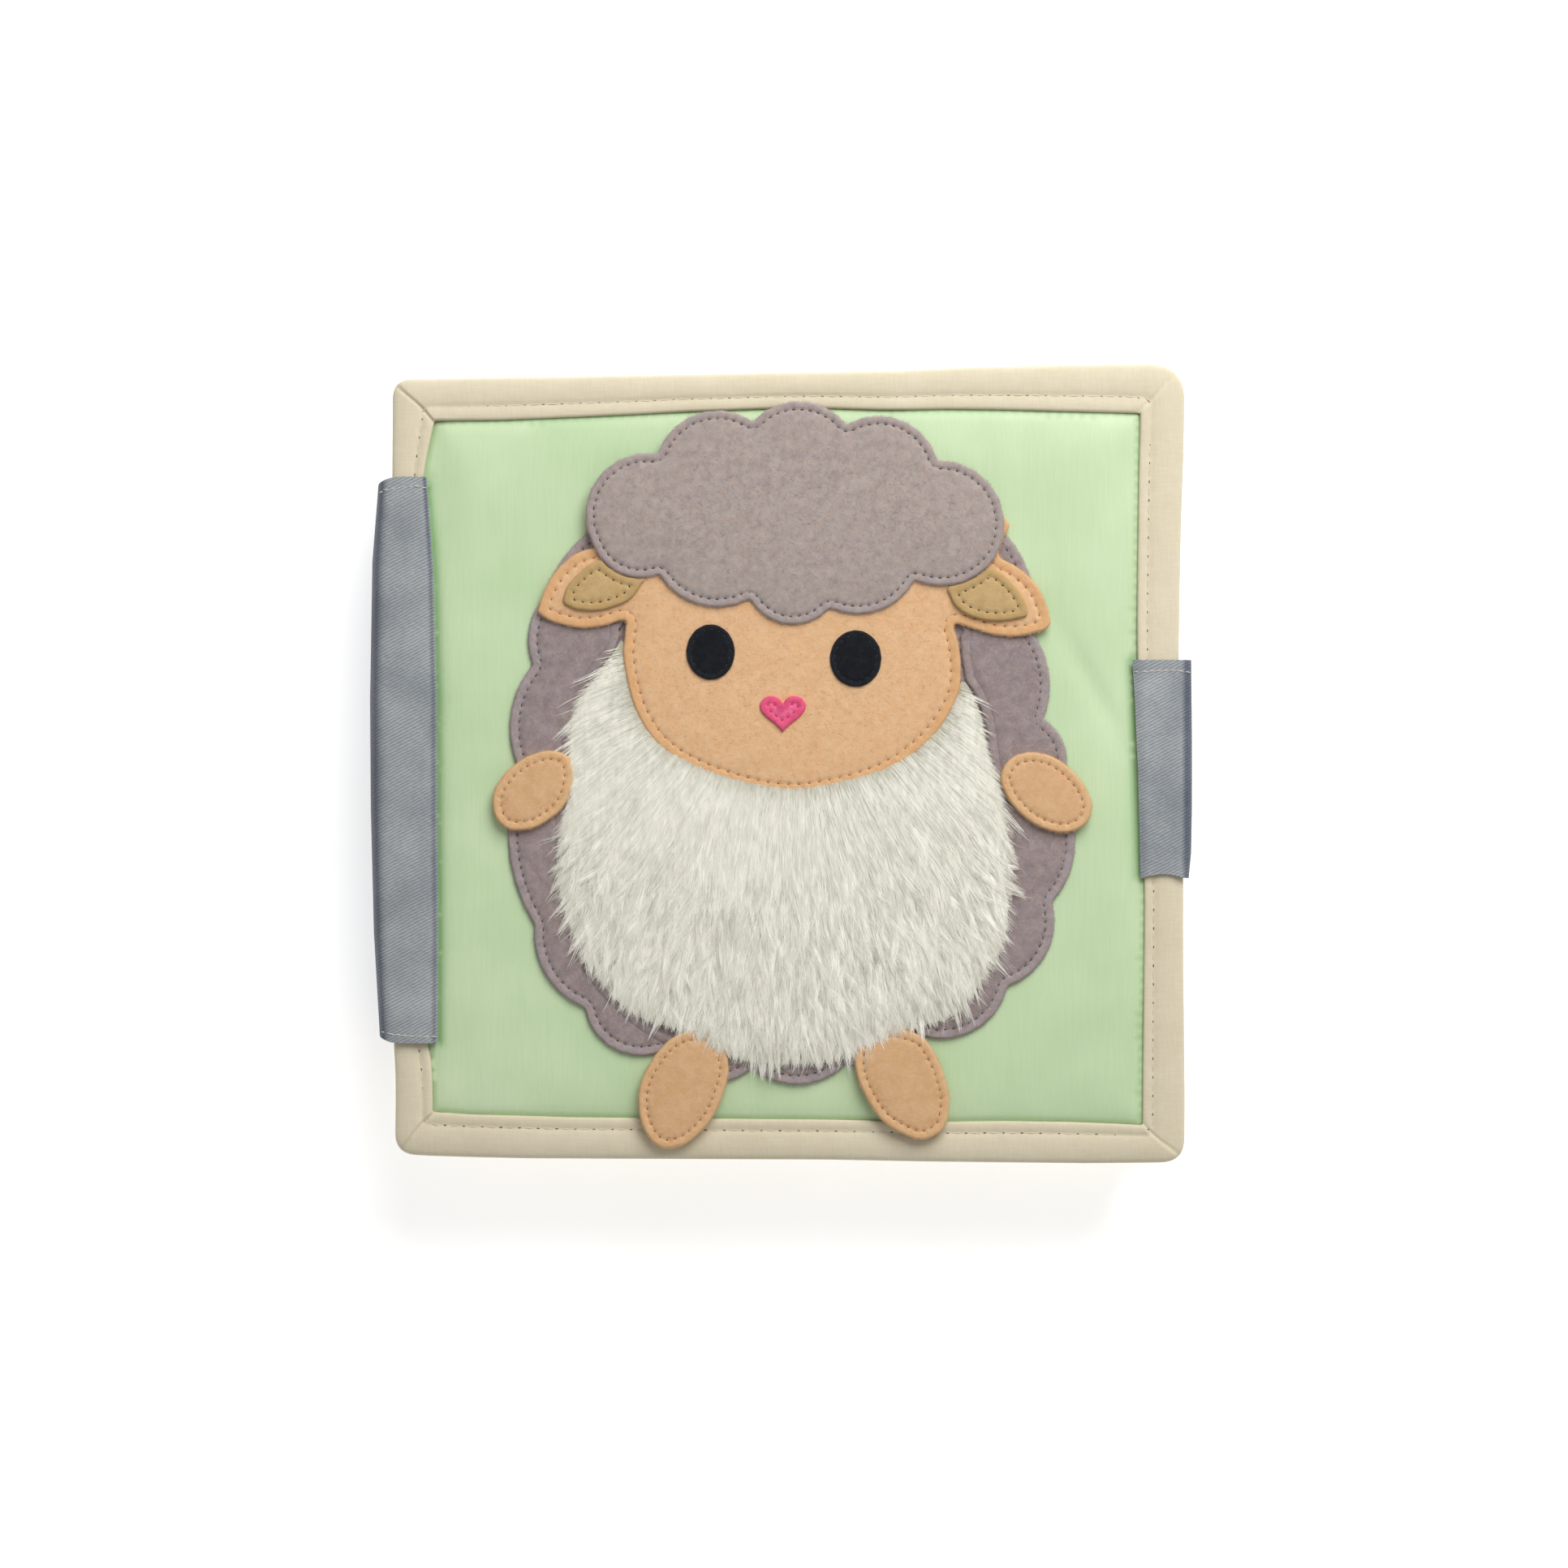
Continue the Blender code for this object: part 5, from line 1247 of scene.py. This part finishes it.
def spineGrid():
    low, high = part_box("spine_wrap")
    ys = np.linspace(low.y, high.y, spineLook["columns"])
    seam = stripEdges(spineLook["seamPixels"], ys)
    outer = stripEdges(spineLook["outerPixels"], ys) - spineLook["outward"]
    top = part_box("spine_front_flap")[1].z + 0.1 * mm
    middle = half = top / 2
    rows = []
    edge = coverLow.x
    turn = edge + spineLook["turn"]
    for share in np.linspace(0, 1, 22) ** 1.3:  # the flap on the cover, from its seam outwards
        x = seam + (turn - seam) * share
        z = top - 0.4 * mm * (1 - share) - 1.2 * mm * np.exp(-((share * 14) / 1.5) ** 2) - 0.5 * mm * share ** 3
        rows.append(gridRow(x, ys, z))
    for angle in np.linspace(math.pi / 2, -math.pi / 2, 46)[1:-1]:
        bulge = math.cos(angle) ** 0.42
        x = turn - (turn - outer) * bulge
        rise = math.sin(angle)
        z = middle + half * math.copysign(abs(rise) ** 0.9, rise) - 0.5 * mm * max(0, rise)
        rows.append(gridRow(x, ys, z))
    for share in np.linspace(0, 1, 8):
        x = turn + (seam - turn) * share
        rows.append(gridRow(x, ys, 0.0))
    grid = np.array(rows)
    # the ends are drawn in where the strip turns the spine's edge
    ends = np.clip((grid[:, :, 0] - edge) / (grid[:, :, 0].min() - edge), 0, 1)
    reach = np.abs(ys - ys.mean()) / ((ys[-1] - ys[0]) / 2)
    grid[:, :, 1] -= spineLook["drawnIn"] * ends * np.sign(ys - ys.mean()) * reach ** 6
    # folded hems make both ends thicker, and the cloth ripples a little
    hem = np.exp(-(np.minimum(ys - ys[0], ys[-1] - ys) / spineLook["hem"]) ** 4) * 0.3 * mm
    ripple = 0.18 * mm * waves(np.column_stack([ys, ys * 0]), 46 * mm, 12)
    upper = grid[:, :, 2] > middle
    grid[:, :, 2] += np.where(upper, hem + ripple, 0)
    return grid


spine = spineGrid()


# the height of a cloth's upper face at a place
def heightOn(grid, place):
    upper = grid[grid[:, :, 2] > 20 * mm]
    return upper[np.argmin(((upper[:, :2] - place) ** 2).sum(1)), 2]


heights = spine[:, spineLook["columns"] // 2, 2]
# the flap's rows come first; below them the strip is parted at these heights
rows = [0] + [int(np.argmax((heights < level) & (np.arange(len(heights)) > 21))) for level in spineLook["partedAt"]]
rows.append(len(heights) - 1)
for name, start, stop in zip(("spineFrontCloth", *spineBends, "spineBackCloth"), rows, rows[1:]):
    piece = clothShell(name, spine[start:stop + 1], -spineLook["cloth"], twill)
    if name in spineBends:
        first, second = spineBends[name]
        gap = (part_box(first + "_binding")[1].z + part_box(second + "_binding")[0].z) / 2
        # the two rows either side of the gap between the leaves, and the height halfway between them
        above = start + int(np.argmax(heights[start:stop] < gap)) - 1
        middle = float(heights[above] + heights[above + 1]) / 2
        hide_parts("spine_wrap")
        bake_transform(piece)
    else:
        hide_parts("spine_front_flap" if "Front" in name else "spine_back_flap")
        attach(piece, "front_cover" if "Front" in name else "back_cover")
for label, pixels in (("Top", [(471, 606), (479, 603), (500, 600.5), (514, 599.5), (522, 601)]),
                      ("Bottom", [(474, 1272), (484, 1274), (505, 1276), (524, 1277), (534, 1277)])):
    stitchRow(
        "spine" + label + "HemStitches", "front_cover", fromPhoto(pixels), lambda c: heightOn(spine, c),
        {"pitch": 3.0 * mm, "length": 1.9 * mm, "radius": 0.19 * mm, "seed": 9, "lift": 0.02 * mm},
        [threads["pale"]], closed=False,
    )
print("spine cloth made")

# The closing strap: sewn on the front cover, down over the fore-edge and back under the book
strapLook = {
    "seamPixels": [(1395, 813), (1398, 860), (1402, 950), (1404, 1030), (1405, 1082)],
    "outerPixels": [(1469, 813), (1470, 900), (1470, 1000), (1469, 1050), (1466, 1082)],
    "cloth": 0.8 * mm, "columns": 46, "wave": 1.1 * mm,
    "shoulder": 4.5 * mm, "foot": 3.0 * mm,  # the heights of its two bends at the fore-edge
    # painted shade: past shadeFrom the strap's colour is darkened, as if turned away from the light
    "shadeFrom": fromPhoto([(1455, 900)])[0, 0],  # outside this line the cloth turns down, away from the light
}


def strapGrid():
    flapLow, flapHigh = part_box("strap_front_flap")
    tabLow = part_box("strap_tab")[0]
    ys = np.linspace(flapLow.y, flapHigh.y, strapLook["columns"])
    seam = stripEdges(strapLook["seamPixels"], ys)
    outer = stripEdges(strapLook["outerPixels"], ys)
    top = flapHigh.z + 0.4 * mm
    rows = []
    turn = coverHigh.x - 1.5 * mm
    for share in np.linspace(0, 1, 14):
        x = seam + (turn - seam) * share
        z = top - 0.35 * mm * (1 - share) - 0.7 * mm * np.exp(-((share * 12) / 1.2) ** 2)
        rows.append(gridRow(x, ys, z))
    for angle in np.linspace(math.pi / 2, 0, 12)[1:]:
        x = turn + (outer - turn) * math.cos(angle) ** 0.8
        z = top - strapLook["shoulder"] * (1 - math.sin(angle) ** 0.8)
        rows.append(gridRow(x, ys, z))
    for z in np.linspace(top - strapLook["shoulder"], strapLook["foot"], 22)[1:]:
        rows.append(gridRow(outer, ys, z))
    for angle in np.linspace(0, math.pi / 2, 9)[1:]:
        x = turn + (outer - turn) * math.cos(angle)
        z = strapLook["foot"] * (1 - math.sin(angle))
        rows.append(gridRow(x, ys, z))
    for x in np.linspace(turn, tabLow.x, 14)[1:]:
        rows.append(gridRow(x, ys, 0.0))
    grid = np.array(rows)
    nearEnd = np.exp(-((ys - ys[0]) / (6 * mm)) ** 2)
    across = np.clip((grid[:, :, 0] - grid[0, 0, 0]) / (12 * mm), 0, 1)
    grid[:, :, 1] += strapLook["wave"] * nearEnd * np.sin(np.pi * across)
    hem = np.exp(-((ys[-1] - ys) / (3.2 * mm)) ** 4) * 0.3 * mm
    upper = grid[:, :, 2] > 20 * mm
    grid[:, :, 2] += np.where(upper, hem + 0.12 * mm * waves(np.column_stack([ys, ys]), 30 * mm, 3), 0)
    sag = 0.5 * mm * np.sin(np.pi * np.clip((grid[:, :, 2] - 3 * mm) / (30 * mm), 0, 1))
    grid[:, :, 0] -= np.where((grid[:, :, 0] > turn + 1 * mm), sag, 0)
    return grid


strap = strapGrid()
middle = int(np.argmax(strap[:, 20, 2] < 21 * mm))  # where its upper and lower halves meet, down the side
upperStrap = clothShell("strapUpperCloth", strap[:middle + 1], strapLook["cloth"], twill, strapLook["shadeFrom"])
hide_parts("strap_front_flap")
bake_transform(upperStrap)
lowerStrap = clothShell("strapLowerCloth", strap[middle:], strapLook["cloth"], twill)
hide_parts("strap_side", "strap_tab")
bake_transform(lowerStrap)
stitchRow(
    "strapHemStitches", "front_cover", fromPhoto([(1402, 828), (1420, 827), (1445, 826), (1462, 828)]),
    lambda c: heightOn(strap, c),
    {"pitch": 3.4 * mm, "length": 1.9 * mm, "radius": 0.17 * mm, "seed": 10}, [threads["pale"]], closed=False,
)
print("strap made")

# Oiled beech: pale with short darker rays, so the grain shows only from close by and the face has a soft gloss.
def makeBeech(name, look):
    material, tree, place, made, value = startMaterial(name, {
        "rays": {"size": 0.8 * mm, "detail": 3, "rough": 0.6, "twist": 0.4, "stretch": (9, 1, 1), "weight": 0.5},
        "bands": {"size": 5 * mm, "twist": 0.6, "stretch": (8, 1, 1), "weight": 0.5},
    })
    colour = addNode(tree, "ValToRGB", {"Fac": value, "stops": shades(look, 0.35, 0.5, 0.65)})
    return finishMaterial(material, {"Base Color": colour, "Roughness": 0.45}, (made["rays"], 0.03 * mm, 0.3))


# Moulded or plated parts: one smooth colour, with tiny scuffs that vary the gloss.
def makeHard(name, code, roughness, metal):
    material, tree, place, made, _ = startMaterial(name, {
        "scuffs": {"size": 1.5 * mm, "detail": 3, "rough": 0.6, "twist": 0.5},
    })
    deep = tuple(c * 0.85 for c in linear(code)[:3]) + (1.0,)
    colour = addNode(tree, "Mix", {"data_type": "RGBA", 0: made["scuffs"], 6: linear(code), 7: deep}, 2)
    return finishMaterial(material, {"Base Color": colour, "Roughness": roughness, "Metallic": metal},
                          (made["scuffs"], 0.02 * mm, 0.25))


# Hook-and-loop tape: a knit of tiny upright hooks or loops, which is rough and eats the light; its colour is painted
# darker in the hollows between the hooks, as shade.
def makeHooks(name, look):
    material, tree, place, made, fluff = startMaterial(name, {
        "fluff": {"size": 0.5 * mm, "detail": 3, "rough": 0.7, "weight": 0.5},
    })
    tips = addNode(tree, "TexVoronoi", {"Vector": place, "Scale": 1 / look["pitch"], "feature": "F1"}, "Distance")
    value = addNode(tree, "Math", {"operation": "MULTIPLY_ADD", 0: tips, 1: 0.5, 2: fluff})
    # painted shade: light at each hook's tip, darker in the hollows between them
    colour = addNode(tree, "ValToRGB", {
        "Fac": value, "stops": [(0.3, look["light"]), (0.5, look["mid"]), (0.7, look["dark"])],
    })
    height = addNode(tree, "Math", {"operation": "SUBTRACT", 0: 1.0, 1: tips})
    return finishMaterial(material, {"Base Color": colour, "Roughness": 0.9}, (height, 0.4 * mm, 0.9))


leafCottons = {
    "leaf_1": makeCotton("coralCottonPoplin", {"dark": "#dc7a68", "mid": "#e38674", "light": "#ea9382"}),
    "leaf_2": makeCotton("yellowCottonPoplin", {"dark": "#e6bf52", "mid": "#edc95f", "light": "#f3d371"}),
    "leaf_3": makeCotton("blueCottonPoplin", {"dark": "#79a4c2", "mid": "#86b0cd", "light": "#95bdd7"}),
}
beech = makeBeech("oiledBeech", {"dark": "#c79a68", "mid": "#d6ab7a", "light": "#e2bc8e"})
nickel = makeHard("satinNickelPlate", "#b9bab6", 0.32, 1.0)
nylon = makeHard("mouldedZipNylon", "#2f4a7c", 0.42, 0.0)
hooks = makeHooks("greyHookTape", {"dark": "#5b6068", "mid": "#757b83", "light": "#9499a0", "pitch": 1.1 * mm})
zipCloth = makeCotton("navyZipTapeCloth", {"dark": "#2b3f6a", "mid": "#344b79", "light": "#405988"})
print("inner materials made")

# Leaves and linings: cotton over wadding, flat in the middle and drawn down under the binding
padLook = {"tuck": 2.0 * mm, "sink": 0.75 * mm, "step": 1.4 * mm, "ease": 14 * mm, "slope": 0.35 * mm}


def makePad(name, nodes, body, material, sides, back, face, seed):
    window = coverLoop(sides, (0.6 * mm,) * 4, 60, 4)
    edge = resample(window - inwardNormals(window) * padLook["tuck"], 2 * mm, 2)
    facing = 1 if face > back else -1
    thick = abs(face - back)

    def relief(xy, d):
        rise = -min(padLook["sink"], 0.8 * thick) * np.exp(-((d - padLook["tuck"]) / padLook["step"]) ** 2)
        rise -= padLook["slope"] * (1 - np.clip((d - padLook["tuck"]) / padLook["ease"], 0, 1)) ** 2
        rise += 0.08 * mm * (waves(xy, 45 * mm, seed) - 1) + 0.03 * mm * (waves(xy, 16 * mm, seed + 1) - 1)
        return np.clip(rise, 0.15 * mm - thick, 0)

    piece = reliefSheet(
        name, edge, back, face, relief, material, [0.8 * mm, 1.6 * mm, 2.6 * mm, 4 * mm], 3.2 * mm, facing,
    )
    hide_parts(*nodes)
    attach(piece, body)


for i, leaf in enumerate(("leaf_1", "leaf_2", "leaf_3")):
    lowPanel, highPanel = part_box(leaf + "_back_panel"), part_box(leaf + "_front_panel")
    middle = (lowPanel[0].z + highPanel[1].z) / 2
    sides = plainSides(leaf + "_binding", wideTape)
    title = leaf.replace("_", "")
    makePad(title + "FrontCloth", (leaf + "_front_panel", leaf + "_wadding"), leaf, leafCottons[leaf], sides,
            middle + 0.02 * mm, highPanel[1].z, 60 + i)
    makePad(title + "BackCloth", (leaf + "_back_panel",), leaf, leafCottons[leaf], sides,
            middle - 0.02 * mm, lowPanel[0].z, 70 + i)
    makeBinding(
        title + "BindingTape", leaf + "_binding", leaf, plainSides(leaf + "_binding"), (4.5 * mm,) * 4,
        sides, sides, (0.74,) * 4, 33 + 3 * i,
    )
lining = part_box("front_cover_lining")
makePad("frontLiningCloth", ("front_cover_lining",), "front_cover", sateen,
        plainSides("front_cover_binding", wideTape), lining[1].z, lining[0].z, 80)
back = {part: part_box("back_cover_" + part) for part in ("panel", "lining", "wadding")}
sides = plainSides("back_cover_binding", wideTape)
makePad("backLiningCloth", ("back_cover_lining", "back_cover_wadding"), "back_cover", sateen, sides,
        back["wadding"][0].z, back["lining"][1].z, 83)
makePad("backPanelCloth", ("back_cover_panel",), "back_cover", sateen, sides,
        back["panel"][1].z, back["panel"][0].z, 86)
makeBinding(
    "backBindingTape", "back_cover_binding", "back_cover", plainSides("back_cover_binding", 0.3 * mm),
    (5 * mm,) * 4, sides, sides, (0.72, 0.75, 0.7, 0.74), 51,
)
print("leaves and back cover made")


# an upright rectangle as a closed line
def rectangle(lowX, lowY, highX, highY):
    return np.array([(lowX, lowY), (highX, lowY), (highX, highY), (lowX, highY)])


# a flat strip of tape over its CAD solid, its cut edges rounded and its face a little wavy
def clothPiece(name, node, body, material):
    low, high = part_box(node)
    edge = resample(outlineOf(node), 1 * mm, 1)
    thick = high.z - low.z

    def relief(xy, d):
        return -0.4 * thick * np.exp(-(d / (0.3 * mm)) ** 1.6) - 0.12 * thick * (1 + waves(xy, 9 * mm, 3)) / 2

    piece = reliefSheet(name, edge, low.z, high.z, relief, material, [0.3 * mm, 0.7 * mm], 2.5 * mm)
    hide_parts(node)
    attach(piece, body)
    size = edge.max(0) - edge.min(0)
    float(size.prod())


for name, node, body in (("hookTapeCloth", "hook_tape", "strap_tab"), ("loopTapeCloth", "loop_tape", "back_cover")):
    clothPiece(name, node, body, hooks)
for i in (1, 2, 3):
    node = "leaf_%d_hinge_tape" % i
    clothPiece("leaf%dHingeCloth" % i, node, "leaf_%d" % i, tape)


ribbonLook = {"cloth": 0.5 * mm, "ease": 0.05 * mm}  # its thickness, and its ends' clearance over the page


# a ribbon sewn down at both ends and lifted between them, so that something can slide along it
def liftedRibbon(name, node, body, material, end):
    low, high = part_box(node)
    rise = high.z - low.z - ribbonLook["cloth"] - ribbonLook["ease"]
    xs = np.concatenate([
        [low.x, low.x + end * 0.4, low.x + end * 0.7], np.linspace(low.x + end, high.x - end, 60),
        [high.x - end * 0.7, high.x - end * 0.4, high.x],
    ])
    ys = np.linspace(low.y, high.y, 7)
    grid = np.zeros((len(xs), len(ys), 3))
    gap = np.clip(np.minimum(xs - low.x, high.x - xs) / end, 0, 1)
    height = high.z - rise * (1 - gap * gap * (3 - 2 * gap))
    grid[:, :, 0] = xs[:, None]
    grid[:, :, 1] = ys[None, :]
    grid[:, :, 2] = height[:, None]
    piece = clothShell(name, grid, ribbonLook["cloth"], material)
    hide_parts(node)
    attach(piece, body)
    return piece


ribbon = liftedRibbon("countingRibbonCloth", "counting_ribbon", "back_cover", zipCloth, 8 * mm)
track = liftedRibbon("doorTrackTape", "door_track", "leaf_3", tape, 6 * mm)
for node, material in (("counting_disc_1", beech), ("counting_disc_2", beech), ("counting_disc_3", beech),
                       ("clock_button", beech), ("zip_slider", nickel)):
    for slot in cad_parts[node].material_slots:
        slot.material = material
print("ribbons and hard parts made")

# The clock page: a round felt face with worked hour marks and two felt hands under a wooden button
innerFelt = {"stitchInset": 2.2 * mm, "pitch": 3.2 * mm, "stitch": 1.9 * mm, "threadRadius": 0.2 * mm,
             "rimRise": 0.0, "groove": 0.2 * mm, "puff": 0.0, "seed": 101, "spacing": 2.5 * mm}
clockLook = {
    "quarter": (6.5 * mm, 2.6 * mm), "hour": (3.5 * mm, 1.7 * mm),  # each mark's length and width
    "ring": 52 * mm,  # from the middle to the marks' outer ends
    "stitch": {"pitch": 0.4 * mm, "radius": 0.2 * mm, "wander": 0.04, "turned": True},
}
centre = np.array([(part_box("clock_face")[0].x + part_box("clock_face")[1].x) / 2, 0.0])
feltPiece("clockFaceFelt", "clock_face", innerFelt, "leaf_1", felts["white"], threads["navy"])
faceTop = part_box("clock_face")[1].z
for i in range(12):
    angle = math.pi / 2 - i * math.pi / 6
    way = np.array([math.cos(angle), math.sin(angle)])
    length, width = clockLook["hour" if i % 3 else "quarter"]
    path = centre + way * np.array([[clockLook["ring"] - length], [clockLook["ring"]]])
    stitchRow(
        "hourMark%d" % i, "leaf_1", path, lambda c: faceTop + 0.02 * mm,
        dict(clockLook["stitch"], length=width, seed=i), [threads["navy"]], closed=False,
    )
handLook = dict(innerFelt, stitchInset=1.9 * mm, groove=0.12 * mm, edgeStep=0.5 * mm)
feltPiece("hourHandFelt", "hour_hand", dict(handLook, seed=103), "hour_hand", felts["red"], threads["red"])
feltPiece("minuteHandFelt", "minute_hand", dict(handLook, seed=105), "minute_hand", felts["navy"], threads["navy"])
print("clock made")

# The zip page: woven tapes either side of a row of moulded teeth, with a plated slider
zipLow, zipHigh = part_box("zip_tape")
zipLook = {
    "cloth": 0.6 * mm, "margin": 4 * mm, "toothPitch": 2.2 * mm, "tooth": (1.5 * mm, 2.6 * mm),
    "toothEnd": 2.0 * mm, "toothBevel": 0.25 * mm,  # each tooth runs this far past the middle, and is bevelled
    "seamFromMiddle": 10.8 * mm, "seamFromEnd": 2 * mm,
}
clothTop = zipLow.z + zipLook["cloth"]
zipEdge = resample(rectangle(zipLow.x, zipLow.y, zipHigh.x, zipHigh.y), 1 * mm, 1)
zipPiece = reliefSheet(
    "zipTapeCloth", zipEdge, zipLow.z, clothTop,
    lambda xy, d: -0.25 * mm * np.exp(-(d / (0.3 * mm)) ** 1.6) - 0.05 * mm * (1 + waves(xy, 12 * mm, 4)),
    zipCloth, [0.3 * mm, 0.7 * mm], 2.5 * mm,
)
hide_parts("zip_tape")
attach(zipPiece, "leaf_2")
points, faces = [], []
count = int((zipHigh.x - zipLow.x - 2 * zipLook["margin"]) / zipLook["toothPitch"])
for i in range(count):
    x = zipLow.x + zipLook["margin"] + (i + 0.5) * zipLook["toothPitch"]
    side = 1 if i % 2 else -1
    deep, tall = zipLook["tooth"]
    for shrink, z in ((0.0, clothTop - 0.1 * mm), (0.0, zipHigh.z - 0.35 * mm), (zipLook["toothBevel"], zipHigh.z)):
        y0, y1 = sorted((side * (zipLook["toothEnd"] - shrink), side * (zipLook["toothEnd"] - tall)))
        x0, x1 = x - deep / 2 + shrink, x + deep / 2 - shrink
        points += [(x0, y0, z), (x1, y0, z), (x1, y1, z), (x0, y1, z)]
    base = i * 12
    for ring in (0, 4):
        for k in range(4):
            a, b = base + ring + k, base + ring + (k + 1) % 4
            faces.append([a, b, b + 4, a + 4])
    faces += [[base + 3, base + 2, base + 1, base], [base + 8, base + 9, base + 10, base + 11]]
teeth = meshPiece("zipTeeth", points, faces, nylon, sharp=30)
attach(teeth, "leaf_2")
for side in (-1, 1):
    y = side * zipLook["seamFromMiddle"]
    line = np.array([(zipLow.x + zipLook["seamFromEnd"], y), (zipHigh.x - zipLook["seamFromEnd"], y)])
    stitchRow(
        "zipStitches%d" % (side > 0), "leaf_2", line, lambda c: clothTop - 0.08 * mm,
        {"pitch": 2.8 * mm, "length": 2.1 * mm, "radius": 0.17 * mm, "seed": 6}, [threads["white"]], closed=False,
    )
print("zip made")

# The barn page: felt walls and roof, and a door hung on a tape track by a folded header
feltPiece("barnWallFelt", "barn_wall", dict(innerFelt, seed=111), "leaf_3", felts["red"], threads["white"])
feltPiece("barnRoofFelt", "barn_roof", dict(innerFelt, seed=113), "leaf_3", felts["brown"], threads["white"])
doorLow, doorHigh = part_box("barn_door")
doorLook = {"header": 11 * mm, "wall": 0.5 * mm, "cloth": 0.8 * mm, "brace": 5 * mm}
doorLoop = rectangle(doorLow.x, doorLow.y, doorHigh.x, doorHigh.y - doorLook["header"])
feltPiece(
    "barnDoorFelt", "barn_door", dict(innerFelt, seed=115, soften=1), "barn_door", felts["white"], threads["red"],
    doorLoop, (doorLow.z, doorLow.z + doorLook["cloth"]),
)
# the header is one strip folded over the track, open at both ends for it to run through
top, foot = doorHigh.y, doorHigh.y - doorLook["header"] + 0.05 * mm
wall = doorLook["wall"]
outerRing = [(foot, doorLow.z), (top - 0.4 * mm, doorLow.z), (top, doorLow.z + 0.4 * mm),
             (top, doorHigh.z - 0.4 * mm), (top - 0.4 * mm, doorHigh.z), (foot + 0.3 * mm, doorHigh.z),
             (foot, doorHigh.z - 0.3 * mm)]
innerRing = [(foot + wall, doorLow.z + wall), (top - wall - 0.2 * mm, doorLow.z + wall),
             (top - wall, doorLow.z + wall + 0.2 * mm), (top - wall, doorHigh.z - wall - 0.2 * mm),
             (top - wall - 0.2 * mm, doorHigh.z - wall), (foot + wall + 0.1 * mm, doorHigh.z - wall),
             (foot + wall, doorHigh.z - wall - 0.1 * mm)]
points, faces = [], []
steps = 24
for i in range(steps + 1):
    x = doorLow.x + (doorHigh.x - doorLow.x) * i / steps
    points += [(x, y, z) for y, z in outerRing + innerRing]
ring = len(outerRing)
for i in range(steps):
    a, b = i * 2 * ring, (i + 1) * 2 * ring
    for k in range(ring):
        j = (k + 1) % ring
        faces.append([a + k, b + k, b + j, a + j])
        faces.append([a + ring + j, b + ring + j, b + ring + k, a + ring + k])
for a, flip in ((0, False), (steps * 2 * ring, True)):
    for k in range(ring):
        j = (k + 1) % ring
        face = [a + k, a + j, a + ring + j, a + ring + k]
        faces.append(face[::-1] if flip else face)
header = meshPiece("barnDoorHeader", points, faces, felts["white"], sharp=50, values={"rim": np.zeros(len(points))})
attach(header, "barn_door")
inset = doorLook["brace"]
brace = [(doorLow.x + inset, doorLow.y + inset),
         (doorHigh.x - inset, doorHigh.y - doorLook["header"] - inset)]
for i, line in enumerate((brace, [(brace[0][0], brace[1][1]), (brace[1][0], brace[0][1])])):
    stitchRow(
        "doorBraceStitches%d" % i, "barn_door", np.array(line), lambda c: doorLow.z + doorLook["cloth"] - 0.08 * mm,
        {"pitch": 3.4 * mm, "length": 2.5 * mm, "radius": 0.28 * mm, "seed": 20 + i, "wander": 0.05},
        [threads["red"]], closed=False,
    )
print("barn made")

# Plain pale floor, white world and soft studio light from beyond the cover's top edge
studio = {"world": 0.33, "key": 7.6, "keySize": 0.6, "fill": 1.2, "fillSize": 1.2, "floorGlow": 0.55, "floor": 3.0}
floorMesh = bpy.data.meshes.new("floor")
floorMesh.from_pydata([
    (x, y, 0) for x, y in rectangle(-studio["floor"], -studio["floor"], studio["floor"], studio["floor"])
], [], [(0, 1, 2, 3)])
floor = addObject("floor", floorMesh)
floor.location.z = -0.3 * mm
floorMaterial, floorTree, _, floorMade, _ = startMaterial("mattWhitePaper", {
    "paper": {"size": 60 * mm, "rough": 0.6},
})
paper = addNode(floorTree, "ValToRGB", {"Fac": floorMade["paper"], "stops": [(0.3, "#fbfbfa"), (0.7, "#ffffff")]})
finishMaterial(floorMaterial, {  # a light table, so the shadow stays faint
    "Base Color": paper, "Roughness": 0.9, "Emission Color": linear("#ffffff"),
    "Emission Strength": studio["floorGlow"],
})
floorMesh.materials.append(floorMaterial)
world = bpy.data.worlds.new("studioWorld")
world.use_nodes = True
world.node_tree.nodes["Background"].inputs["Color"].default_value = linear("#ffffff")
world.node_tree.nodes["Background"].inputs["Strength"].default_value = studio["world"]
bpy.context.scene.world = world


def areaLight(name, place, aimAt, size, power, code="#ffffff"):
    data = bpy.data.lights.new(name, "AREA")
    data.shape = "SQUARE"
    data.size = size
    data.energy = power
    data.color = linear(code)[:3]
    light = addObject(name, data)
    light.location = place
    light.rotation_mode = "QUATERNION"
    light.rotation_quaternion = (Vector(aimAt) - Vector(place)).to_track_quat("-Z", "Y")


areaLight("keyLight", (0.24, 0.6, 0.66), (0, 0, 0.03), studio["keySize"], studio["key"])
areaLight("fillLight", (0.5, -0.9, 1.0), (0, 0, 0.03), studio["fillSize"], studio["fill"])
bpy.context.scene.view_settings.view_transform = "Standard"
print("studio made")
